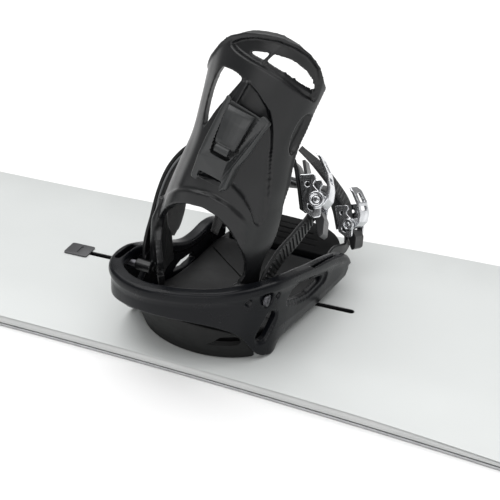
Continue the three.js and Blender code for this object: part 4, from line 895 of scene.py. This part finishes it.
ANKLE_F = frame_of((56, -9, 113), (-0.38, 0.5, 0.78), (0, -0.8, 0.6))
TOE_F = frame_of((64.5, 86, 51), (-0.35, 0.35, 0.87), (-0.1, -0.99, 0.08))
STRAP_Y, STRAP_Z, TOE_Y, TOE_Z = -77.0, 54.0, 38.0, 34.0
DV = np.array((0, 0.8, -0.6))
REAR = [(-60, STRAP_Y, STRAP_Z - 8), (-61, STRAP_Y + 3, 66), (-62.5, -64, 86), (-62, -55, 108), (-57, -46, 129), (-46, -37, 144), (-29, -30, 152), (-8, -24, 154.5), (10, -20, 152), (24, -17, 146)]
S_DIR = [(0, 1, 0), (0, 1, -0.05), (0, 0.95, -0.3)] + [tuple(DV)] * 7
W_FR = [17, 18, 22, 27, 34, 42, 48, 48, 44, 36]
O_FR = [0, 2, 8, 13, 18, 22, 25, 25, 23, 19]


def ankle_rows():
    aD = -ANKLE_F[0][1]
    rows = [(*(np.array(p) + DV * o), *s, w, 3.4 if i < 2 else 3.6) for i, (p, s, w, o) in enumerate(zip(REAR, S_DIR, W_FR, O_FR))]
    rows += [(*in_frame(ANKLE_F, (27, 0, -9.2)), *aD, 29, 3.4), (*in_frame(ANKLE_F, (11, 0, -7.2)), *aD, 26, 3.2), (*in_frame(ANKLE_F, (-13, 0, -7)), *aD, 24, 3.2)]
    return rows


def make_ankle():
    # outer frame: an open moulded strap with long windows
    rings, R, T = ribbon_rings(ankle_rows(), 10, flat_section)
    o = loft("frame", rings)
    cutters = []
    n = len(R)

    def window(i0, i1, a0, a1, m=10):
        """cut through the ribbon between ring i0 and i1, across from a0 to a1 (half widths)"""
        lo, hi = [], []
        pts = [(i, a0) for i in np.linspace(i0, i1, m)] + [(i, a1) for i in np.linspace(i1, i0, m)]
        pts = rounded(pts, 2.0, 3)
        for f, a in pts:
            k = int(np.clip(round(f), 0, n - 1))
            s = unit(R[k, 3:6] - T[k] * (R[k, 3:6] @ T[k])); nn = unit(np.cross(T[k], s))
            p = R[k, :3] + s * a * R[k, 6] / 2
            lo.append(p - nn * 6); hi.append(p + nn * 6)
        cutters.append(loft("c", [lo, hi]))
    window(26, 38, -0.62, -0.12); window(26, 38, 0.12, 0.62)
    window(42, 54, -0.62, -0.12); window(42, 54, 0.12, 0.62)
    window(58, 70, -0.62, -0.12); window(58, 70, 0.12, 0.62)
    window(74, 84, -0.6, -0.12); window(74, 84, 0.12, 0.6)
    window(88, 96, -0.5, 0.5)
    for c in cutters:
        boolean(o, [c])
    # the mounting eyelet
    boolean(o, [rod("u", (-62.3, STRAP_Y, STRAP_Z), (-57.8, STRAP_Y, STRAP_Z), 7.2)], "UNION")
    soften(o, VOX * 0.75, 2)
    both(o, "ankle_strap_frame", "ankle", "strap", ["ankle_strap"])
    # pad
    P3 = REAR[3:10]
    rows = []
    for i, p in enumerate(P3):
        a = np.array(REAR[i + 2], float)
        b = np.array(REAR[i + 4] if i + 4 < len(REAR) else (38, -12, 138), float)
        t = unit(b - a)
        nn = unit(np.cross(t, DV))
        if nn @ np.array((-p[0] * 0.02, 0, -1)) < 0:
            nn = -nn
        oo = O_FR[i + 3] + [6, 5, 5, 4, 4, 3, 3][i]
        rows.append((*(np.array(p) + DV * oo + nn * 6.6), *DV, [50, 56, 62, 66, 66, 60, 48][i], [4, 6, 8, 8, 8, 8, 6][i]))
    rows = [(-56.5, -46, 62, 0, 1, -0.2, 28, 2.8), (-56.7, -37, 80, 0, 0.93, -0.37, 44, 3.0)] + rows

    def pad_section(f, l, L, w, h):
        e = 1 - abs(2 * f - 1) ** 8
        w = w * (0.86 + 0.14 * e)
        out = []
        m = 48
        for k in range(m):
            a = 2 * math.pi * k / m
            ca, sa = math.cos(a), math.sin(a)
            x = w * math.copysign(abs(ca) ** 0.55, ca)
            y = h * (0.55 + 0.45 * e) * math.copysign(abs(sa) ** 0.62, sa)
            g = 0
            for q in (-0.42, 0.0, 0.42):
                g += math.exp(-(((x / w - q) / 0.035) ** 2))
            if abs(y) > 0.4 * h:
                y *= 1 - 0.16 * g
            out.append((x, y))
        return out
    rings, R, T = ribbon_rings(rows, 12, pad_section)
    o = loft("pad", rings)
    for p in both(o, "ankle_cushion", "ankle", "pad", ["ankle_pad"]):
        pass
    # piping round the pad's edge
    edge = []
    for sgn in (1, -1):
        rng = range(2, len(R) - 2) if sgn > 0 else range(len(R) - 3, 1, -1)
        for i in rng:
            s = unit(R[i, 3:6] - T[i] * (R[i, 3:6] @ T[i]))
            f = i / (len(R) - 1)
            e = 1 - abs(2 * f - 1) ** 8
            edge.append(R[i, :3] + s * sgn * (R[i, 6] / 2 * (0.86 + 0.14 * e) + 0.1))
    tube("ankle_piping", edge, 0.9, "ankle", "pad", "edging")


def tube(name, pts, r, body, slot, mat, seg=10, closed=True):
    P = np.array(pts, float)
    for _ in range(3):
        P = (np.roll(P, 1, 0) + 2 * P + np.roll(P, -1, 0)) / 4
    T = np.roll(P, -1, 0) - np.roll(P, 1, 0)
    T /= np.linalg.norm(T, axis=1)[:, None]
    up = np.array((0.3, 0.2, 0.93))
    rings = []
    for p, t in zip(P, T):
        e = unit(np.cross(t, up)); f = np.cross(t, e)
        rings.append([p + r * (math.cos(a) * e + math.sin(a) * f) for a in np.linspace(0, 2 * math.pi, seg, endpoint=False)])
    both(loft(name, rings, closed=True), name, body, slot, (), mat)


def teeth_section(start, stop, pitch, depth, share=0.72):
    def sec(f, l, L, w, h):
        on = 1.0 if start <= l <= L - stop else 0.0
        ph = (l % pitch) / pitch
        t = depth * on * (1.0 if 0.1 < ph < 0.55 else 0.0)
        c = min(h * 0.8, w * 0.3)
        a = w * share
        return [(-w, -h + c), (-w + c, -h), (0, -h), (w - c, -h), (w, -h + c), (w, h - c), (w - c, h), (a + 0.4, h), (a, h + t), (0, h + t), (-a, h + t), (-a - 0.4, h), (-w + c, h), (-w, h - c)]
    return sec


def make_ladders():
    sd = ANKLE_F[0][1]
    rows = [(45.8, STRAP_Y - 7, STRAP_Z - 5, 0, -0.55, 0.83, 15, 2.6), (46, STRAP_Y + 4, STRAP_Z + 7, 0, -0.55, 0.83, 22, 2.6), (50, -58, 75.5, 0, -0.6, 0.8, 23, 2.6), (57, -38, 87.5, -0.05, -0.7, 0.7, 22, 2.6),
            (*in_frame(ANKLE_F, (-16, 0, -0.8)), *sd, 22, 2.6), (*in_frame(ANKLE_F, (0, 0, 0)), *sd, 23, 2.6), (*in_frame(ANKLE_F, (14, 0, 0)), *sd, 23, 2.6), (*in_frame(ANKLE_F, (28, 0, -1)), *sd, 17, 2.6)]
    rings, R, T = ribbon_rings(rows, 44, teeth_section(14, 14, 4.2, 1.1))
    # the strip's normal a third of the way along; nothing below uses it
    mid = len(R) // 3
    nn = np.cross(T[mid], R[mid, 3:6])
    o = loft("lad", rings)
    both(o, "ankle_rack_strip", "ankle_rack", "ladder", ["ankle_ladder"], angle=30)
    sd = -TOE_F[0][1]
    rows = [(64, TOE_Y - 8, TOE_Z - 5, 0, 1, 0.1, 13, 2.6), (65, TOE_Y + 7, TOE_Z - 3, 0, 0.5, -0.86, 17, 2.6), (70.3, 69, 28.8, 0, 0.75, -0.66, 15.5, 2.6),
            (*in_frame(TOE_F, (-15, 0, -0.8)), *sd, 16.5, 2.6), (*in_frame(TOE_F, (-1, 0, 0)), *sd, 19, 2.6), (*in_frame(TOE_F, (12, 0, 0)), *sd, 20, 2.6), (47, 88, 80, *sd, 20, 2.6), (30, 85, 98, *sd, 19, 2.4), (12, 84, 111, *sd, 13, 2.0)]
    def flipped(f, l, L, w, h):
        return [(a, -b) for a, b in teeth_section(46, 16, 3.8, 0.9)(f, l, L, w, h)]
    rings, R, T = ribbon_rings(rows, 40, flipped)
    o = loft("lad", rings)
    both(o, "toe_rack_strip", "toe_rack", "ladder", ["toe_ladder"], angle=30)


def make_ratchet(F, w, k, name, body, bn, ln, rn, hbody, tbody):
    hw = w / 2 + 1.2
    v = VOX * 0.45
    base = prism("b", [(-15 * k, -4.6), (15 * k, -4.6), (15 * k, -2.3), (-15 * k, -2.3)], "y", -hw - 2, hw + 2)
    side = rounded([(-15 * k, -4.6), (-22.5 * k, 2.5), (-22.5 * k, 8.5), (-16 * k, 9.5), (-12 * k, 11), (-4 * k, 11.5), (5 * k, 5.5), (9 * k, 9), (14 * k, 8), (15 * k, -4.6)], 1.6, 3)
    ups = []
    for s in (-1, 1):
        y0, y1 = (hw, hw + 2) if s > 0 else (-hw - 2, -hw)
        ups.append(prism("s", side, "y", y0, y1))
    ups += [rod("r", (-8 * k, hw + 1.8, 7), (-8 * k, hw + 5, 7), 6.8 * k, 40, 6.3 * k), rod("r", (-8 * k, -hw - 1.8, 7), (-8 * k, -hw - 4, 7), 5.2 * k, 40, 4.8 * k),
            rod("r", (-8 * k, -hw - 1, 7), (-8 * k, hw + 1, 7), 2.1, 24), rod("r", (-18.6 * k, -hw - 1, 5.6), (-18.6 * k, hw + 1, 5.6), 1.3, 18)]
    for u in ups:
        boolean(base, [u], "UNION")
    cuts = [rod("c", (-8 * k, hw + 3.9, 7), (-8 * k, hw + 8, 7), 4.6 * k, 32), rod("c", (6 * k, -hw - 4, 1.2), (6 * k, hw + 8, 1.2), 2.0 * k, 20),
            prism("c", rounded([(-14 * k, -0.5), (-17 * k, 3), (-12 * k, 3.4), (-10 * k, -0.5)], 1.0, 2), "y", -hw - 4, hw + 3)]
    for c in cuts:
        boolean(base, [c])
    boolean(base, [rod("u", (-8 * k, hw + 3, 7), (-8 * k, hw + 4.7, 7), 2.2 * k, 24)], "UNION")
    soften(base, v, 2)
    move_to(base, F)
    both(base, name + "_ratchet_frame", body, "ratchet", [bn])
    # lever
    lw = w / 2 - 0.4
    prof = rounded([(-11 * k, 7), (-10.5 * k, 10.4), (-7 * k, 14.2), (2 * k, 16.2), (14 * k, 15.6), (27 * k, 12.4), (33 * k, 9.4), (34 * k, 10.8), (28 * k, 14.6), (15 * k, 18.4), (1 * k, 19), (-8 * k, 16.4), (-12.4 * k, 11.6), (-13.4 * k, 7)], 1.0, 2)
    lev = prism("l", prof, "y", -lw, lw)
    boolean(lev, [rod("r", (-8 * k, -lw, 7), (-8 * k, lw, 7), 5.2, 32)], "UNION")
    cuts = [rod("c", (-8 * k, -lw - 5, 7), (-8 * k, lw + 5, 7), 2.5, 24)]
    # finger opening and two lightening slots through the lever's plate
    cuts.append(prism("c", stadium((8 * k, -lw * 0.45), (8 * k, lw * 0.45), 2.6 * k), "z", 8, 24))
    cuts.append(prism("c", rounded([(15 * k, -lw * 0.55), (26 * k, -lw * 0.4), (26 * k, lw * 0.4), (15 * k, lw * 0.55)], 2.2, 4), "z", 8, 24))
    for s in (-1, 1):
        cuts.append(prism("c", [(28 * k, s * (lw + 1)), (36 * k, s * (lw + 1)), (36 * k, s * (lw - 4.5))], "z", 5, 24))
    for c in cuts:
        boolean(lev, [c])
    soften(lev, v, 2)
    move_to(lev, F)
    both(lev, name + "_lever_plate", hbody, "ratchet", [ln])
    # release tab
    tw = w / 2 - 1.2
    tab = prism("t", rounded([(-15.4 * k, 3.6), (-15.4 * k, 7.4), (-17 * k, 8.6), (-24 * k, 10.6), (-36 * k, 8), (-38 * k, 4.6), (-34 * k, 3.4), (-24 * k, 3.2), (-19 * k, 2.8)], 0.9, 2), "y", -tw, tw)
    cuts = [rod("c", (-18.6 * k, -tw - 4, 5.6), (-18.6 * k, tw + 4, 5.6), 1.7, 18)]
    for i in range(4):
        x = (-25 - 3.0 * i) * k
        cuts.append(rod("c", (x, -tw + 2, 11.0 - 0.5 * i), (x, tw - 2, 11.0 - 0.5 * i), 0.95, 12))
    for c in cuts:
        boolean(tab, [c])
    soften(tab, v, 2)
    move_to(tab, F)
    both(tab, name + "_release_tab", tbody, "tab", [rn])


def make_toe():
    tD = -TOE_F[0][1]
    rows = [(-49.4, TOE_Y - 4, TOE_Z - 6, 0, 1, 0, 16, 3.6), (-49.2, TOE_Y + 6, TOE_Z + 6, 0, 1, -0.2, 22, 4), (-49.5, 60, 50, 0, 0.95, -0.3, 36, 6), (-46, 74, 62, 0, 0.9, -0.42, 48, 8), (-30, 83, 70, 0, 0.87, -0.5, 54, 9),
            (0, 87, 73, 0, 0.87, -0.5, 56, 9), (24, 89, 72, 0, 0.9, -0.42, 50, 8), (*in_frame(TOE_F, (22, 0, -10)), *tD, 34, 5), (*in_frame(TOE_F, (10, 0, -7.8)), *tD, 25, 4), (*in_frame(TOE_F, (-10, 0, -7.2)), *tD, 21, 3.4)]

    def sec(f, l, L, w, h):
        soft = sstep(f, 0.1, 0.3) * (1 - sstep(f, 0.72, 0.86))
        out = []
        m = 56
        for k in range(m):
            a = 2 * math.pi * k / m
            ca, sa = math.cos(a), math.sin(a)
            x = w * math.copysign(abs(ca) ** 0.5, ca)
            y = h * math.copysign(abs(sa) ** 0.6, sa)
            g = sum(math.exp(-(((x / w - q) / 0.03) ** 2)) for q in (-0.6, -0.2, 0.2, 0.6))
            y *= 1 - 0.22 * g * soft
            out.append((x, y))
        return out
    rings, R, T = ribbon_rings(rows, 12, sec)
    o = loft("toe", rings)
    for p in both(o, "toe_cushion", "toe", "toe_pad", ["toe_strap"]):
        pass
    edge = []
    n = len(R)
    for sgn in (1, -1):
        rng = range(int(n * 0.18), int(n * 0.78)) if sgn > 0 else range(int(n * 0.78) - 1, int(n * 0.18) - 1, -1)
        for i in rng:
            s = unit(R[i, 3:6] - T[i] * (R[i, 3:6] @ T[i]))
            edge.append(R[i, :3] + s * sgn * (R[i, 6] / 2 + 0.1))
    tube("toe_piping", edge, 0.9, "toe", "toe_pad", "edging")


# ---------------------------------------------------------------- board
TIP_X, CONTACT, WIDE, WAIST, SIDECUT = 775.0, 600.0, 575.0, 251.0, 6000.0
DECK_T, WING_T, TIP_T, SHEET_T = 10.0, 5.2, 4.2, 0.6


def half_width(x):
    a = np.abs(x)
    h = WAIST / 2 + a * a / (2 * SIDECUT)
    t = np.clip((a - WIDE) / (TIP_X - WIDE), 0, 1)
    return h * np.power(np.maximum(0, 1 - np.power(t, 2.5)), 0.52)


def base_z(x):
    t = np.maximum(0, np.abs(x) - CONTACT) / (TIP_X - CONTACT)
    return 45.0 * t * t


def deck_t(x):
    a = np.abs(x)
    u = np.clip((a - 380) / (CONTACT - 380), 0, 1)
    mid = DECK_T + (WING_T - DECK_T) * u * u * (3 - 2 * u)
    return np.where(a < CONTACT, mid, WING_T + (TIP_T - WING_T) * (a - CONTACT) / (TIP_X - CONTACT))


def outline(n=60, m=90):
    xs = np.linspace(0, WIDE, n, endpoint=False)
    th = np.linspace(0, math.pi / 2, m)
    quarter = np.r_[xs, WIDE + (TIP_X - WIDE) * np.sin(th)]
    q = np.c_[quarter, -half_width(quarter)]
    q[-1, 1] = 0
    p = np.concatenate([q, (q * (1, -1))[::-1][1:], (q * (-1, -1))[1:], (q * (-1, 1))[::-1][1:-1]])
    t = np.roll(p, -1, 0) - np.roll(p, 1, 0)
    t /= np.linalg.norm(t, axis=1)[:, None]
    return p, np.c_[t[:, 1], -t[:, 0]]


OUT, NRM = outline()


def ring_at(d, fz):
    q = OUT - NRM * d
    return np.c_[q, base_z(q[:, 0]) + fz(deck_t(q[:, 0]))]


def board_piece(name, rings, closed, slot, nodes, mat=None, cut=(), angle=40):
    m = np.array(rings).transpose(1, 0, 2)
    o = loft(name, m, closed=True)
    if cut:
        boolean(o, list(cut))
    o.data.transform(Matrix.Scale(0.001, 4))
    o.data.materials.clear(); o.data.materials.append(MAT[mat or slot])
    o.data.shade_smooth(); o.data.set_sharp_from_angle(angle=rad(angle))
    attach(o, "board"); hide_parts(*nodes)
    return o


def plate(name, d, z0, z1, crown=0.25):
    """a sheet that fills the outline inset by d, in strips along the board"""
    xs = np.r_[-TIP_X + 1.6, -TIP_X + 3, np.linspace(-TIP_X + 6, -CONTACT, 46), np.linspace(-CONTACT, CONTACT, 121)[1:-1], np.linspace(CONTACT, TIP_X - 6, 46), TIP_X - 3, TIP_X - 1.6]
    q = OUT - NRM * d
    side = q[(q[:, 1] <= 0)]
    side = side[np.argsort(side[:, 0])]
    rings = []
    for x in xs:
        h = np.interp(x, side[:, 0], -side[:, 1])
        b, t = float(base_z(x)), float(deck_t(x))
        ys = np.array([-1, -0.995, -0.5, 0, 0.5, 0.995, 1]) * h
        up = [(x, y, b + z1(t) - (crown if abs(y) > 0.999 * h else 0)) for y in ys[::-1]]
        rings.append([(x, y, b + z0(t)) for y in (ys[0], ys[3], ys[-1])] + up)
    return loft(name, rings)


def make_board():
    T = SHEET_T
    board_piece("side_wall", [ring_at(0.9, lambda t: 2.35 + 0 * t), ring_at(0.5, lambda t: 3.2 + 0 * t), ring_at(0.35, lambda t: 0.6 * t + 0.8), ring_at(1.5, lambda t: t - T - 0.9), ring_at(7.0, lambda t: t - T - 0.4), ring_at(7.0, lambda t: 2.35 + 0 * t)], True, "wall", ["sidewall"])
    board_piece("edge_strip", [ring_at(0.25, lambda t: 0 * t), ring_at(0.0, lambda t: 0.25 + 0 * t), ring_at(0.0, lambda t: 1.8 + 0 * t), ring_at(0.2, lambda t: 2.0 + 0 * t), ring_at(2.2, lambda t: 2.0 + 0 * t), ring_at(2.2, lambda t: 0 * t)], True, "edge", ["steel_edge"])
    o = plate("deck_sheet", 0.7, lambda t: t - T, lambda t: t)
    cut = [prism("c", stadium((s * (91.5 + 3.5), 0), (s * (364.5 - 3.5), 0), 3.5, 20), "z", 5, 15) for s in (1, -1)]
    boolean(o, cut)
    o.data.transform(Matrix.Scale(0.001, 4))
    o.data.materials.clear(); o.data.materials.append(MAT["deck"])
    o.data.shade_smooth(); o.data.set_sharp_from_angle(angle=rad(35))
    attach(o, "board"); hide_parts("topsheet")
    for s, tag in ((1, "nose"), (-1, "tail")):
        c = s * (80.5 + 12)
        lid = loft("lid", [[(x, y, 10.3) for x, y in rounded([(c - 12, -10), (c + 12, -10), (c + 12, 10), (c - 12, 10)], 2.4, 5)], [(x, y, 11.4) for x, y in rounded([(c - 12, -10), (c + 12, -10), (c + 12, 10), (c - 12, 10)], 2.4, 5)],
                           [(x, y, 11.8) for x, y in rounded([(c - 11.3, -9.3), (c + 11.3, -9.3), (c + 11.3, 9.3), (c - 11.3, 9.3)], 2.2, 5)]])
        boolean(lid, [prism("k", stadium((s * 95.5, 0), (s * 101, 0), 2.6, 10), "z", 8.4, 10.6)], "UNION")
        boolean(lid, [prism("c", stadium((c + s * 1, -4.5), (c + s * 1, 4.5), 1.2, 8), "z", 11.0, 14)])
        lid.name = "plug_cap_" + tag
        lid.data.transform(Matrix.Scale(0.001, 4))
        lid.data.materials.clear(); lid.data.materials.append(MAT["plug"])
        lid.data.shade_smooth(); lid.data.set_sharp_from_angle(angle=rad(35))
        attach(lid, "board"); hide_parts("channel_plug_" + tag)


make_chassis()
make_cup()
make_bed()
make_ramp()
make_highback()
make_calf_pad()
make_lean()
make_pivot_screws()
make_ankle()
make_ladders()
make_ratchet(ANKLE_F, 23, 1.0, "ankle", "ankle", "ankle_ratchet", "ankle_lever", "ankle_release", "ankle_handle", "ankle_tab")
make_ratchet(TOE_F, 20, 0.82, "toe", "toe", "toe_ratchet", "toe_lever", "toe_release", "toe_handle", "toe_tab")
make_toe()
make_board()

# CAD nodes that keep their own shape get their materials here
KEEP = {"wood_core": "wood", "running_base": "base", "nose_tip": "tipblock", "tail_tip": "tipblock", "channel_track_nose": "track", "channel_track_tail": "track"}
for tag in ("nose", "tail"):
    KEEP.update({f"disc_{tag}": "disc", f"disc_bolt_outer_{tag}": "bolt", f"disc_bolt_inner_{tag}": "bolt"})
for n, m in KEEP.items():
    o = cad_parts[n]
    o.data.materials.clear()
    o.data.materials.append(MAT[m])

# ---------------------------------------------------------------- floor, light, camera
bpy.ops.mesh.primitive_plane_add(size=30, location=(0, 0, -0.0006))
floor = bpy.context.object
floor.name = "studio_floor"
fm, nt, b, tc = material("studio_white")
fn = noise(nt, tc, 0.4, 2.0, 0.5)
nt.links.new(ramp(nt, fn.outputs["Fac"], [(0.2, (0.86, 0.86, 0.86)), (0.8, (0.88, 0.88, 0.88))]).outputs["Color"], b.inputs["Base Color"])
b.inputs["Roughness"].default_value = 0.9
floor.data.materials.append(fm)

world = bpy.data.worlds.new("studio")
bpy.context.scene.world = world
world.use_nodes = True
bg = world.node_tree.nodes["Background"]
bg.inputs[0].default_value = (1, 1, 1, 1)
bg.inputs[1].default_value = 0.32


def area(name, loc, target, size, power):
    d = bpy.data.lights.new(name, "AREA")
    d.shape = "RECTANGLE"
    d.size, d.size_y = size
    d.energy = power
    o = bpy.data.objects.new(name, d)
    C.objects.link(o)
    o.location = loc
    o.rotation_euler = (Vector(target) - Vector(loc)).to_track_quat("-Z", "Y").to_euler()
    return o


area("overhead_soft", (0.0, 0.6, 3.0), (0.1, 0.3, 0.0), (5.0, 5.0), 150)
area("key_soft", (-0.6, -0.6, 1.6), (0.2, 0, 0.1), (0.9, 0.9), 4)
area("front_soft", (0.8, -2.1, 0.95), (0.26, 0, 0.2), (2.2, 1.1), 16)
area("rim_soft", (0.1, 1.5, 1.4), (0.26, 0, 0.15), (1.4, 0.6), 2.5)

cam_d = bpy.data.cameras.new("camera")
cam = bpy.data.objects.new("camera", cam_d)
C.objects.link(cam)
yaw, pitch, roll, F = rad(16.2), rad(29.42), rad(3.88), 875.76
fwd = np.array((-math.sin(yaw) * math.cos(pitch), math.cos(yaw) * math.cos(pitch), -math.sin(pitch)))
right = np.array((math.cos(yaw), math.sin(yaw), 0))
up = np.cross(right, fwd)
Rv = math.cos(roll) * right + math.sin(roll) * up
Uv = -math.sin(roll) * right + math.cos(roll) * up
M = Matrix(((Rv[0], Uv[0], -fwd[0], 0.45487), (Rv[1], Uv[1], -fwd[1], -0.65776), (Rv[2], Uv[2], -fwd[2], 0.43672), (0, 0, 0, 1)))
cam.matrix_world = M
cam_d.sensor_width = 36
cam_d.sensor_fit = "HORIZONTAL"
cam_d.lens = F * 36 / 500
cam_d.clip_start = 0.01
cam_d.clip_end = 60
bpy.context.scene.camera = cam
bpy.context.scene.view_settings.view_transform = "Standard"
bpy.context.scene.view_settings.look = "None"
bpy.context.scene.view_settings.exposure = 0.0
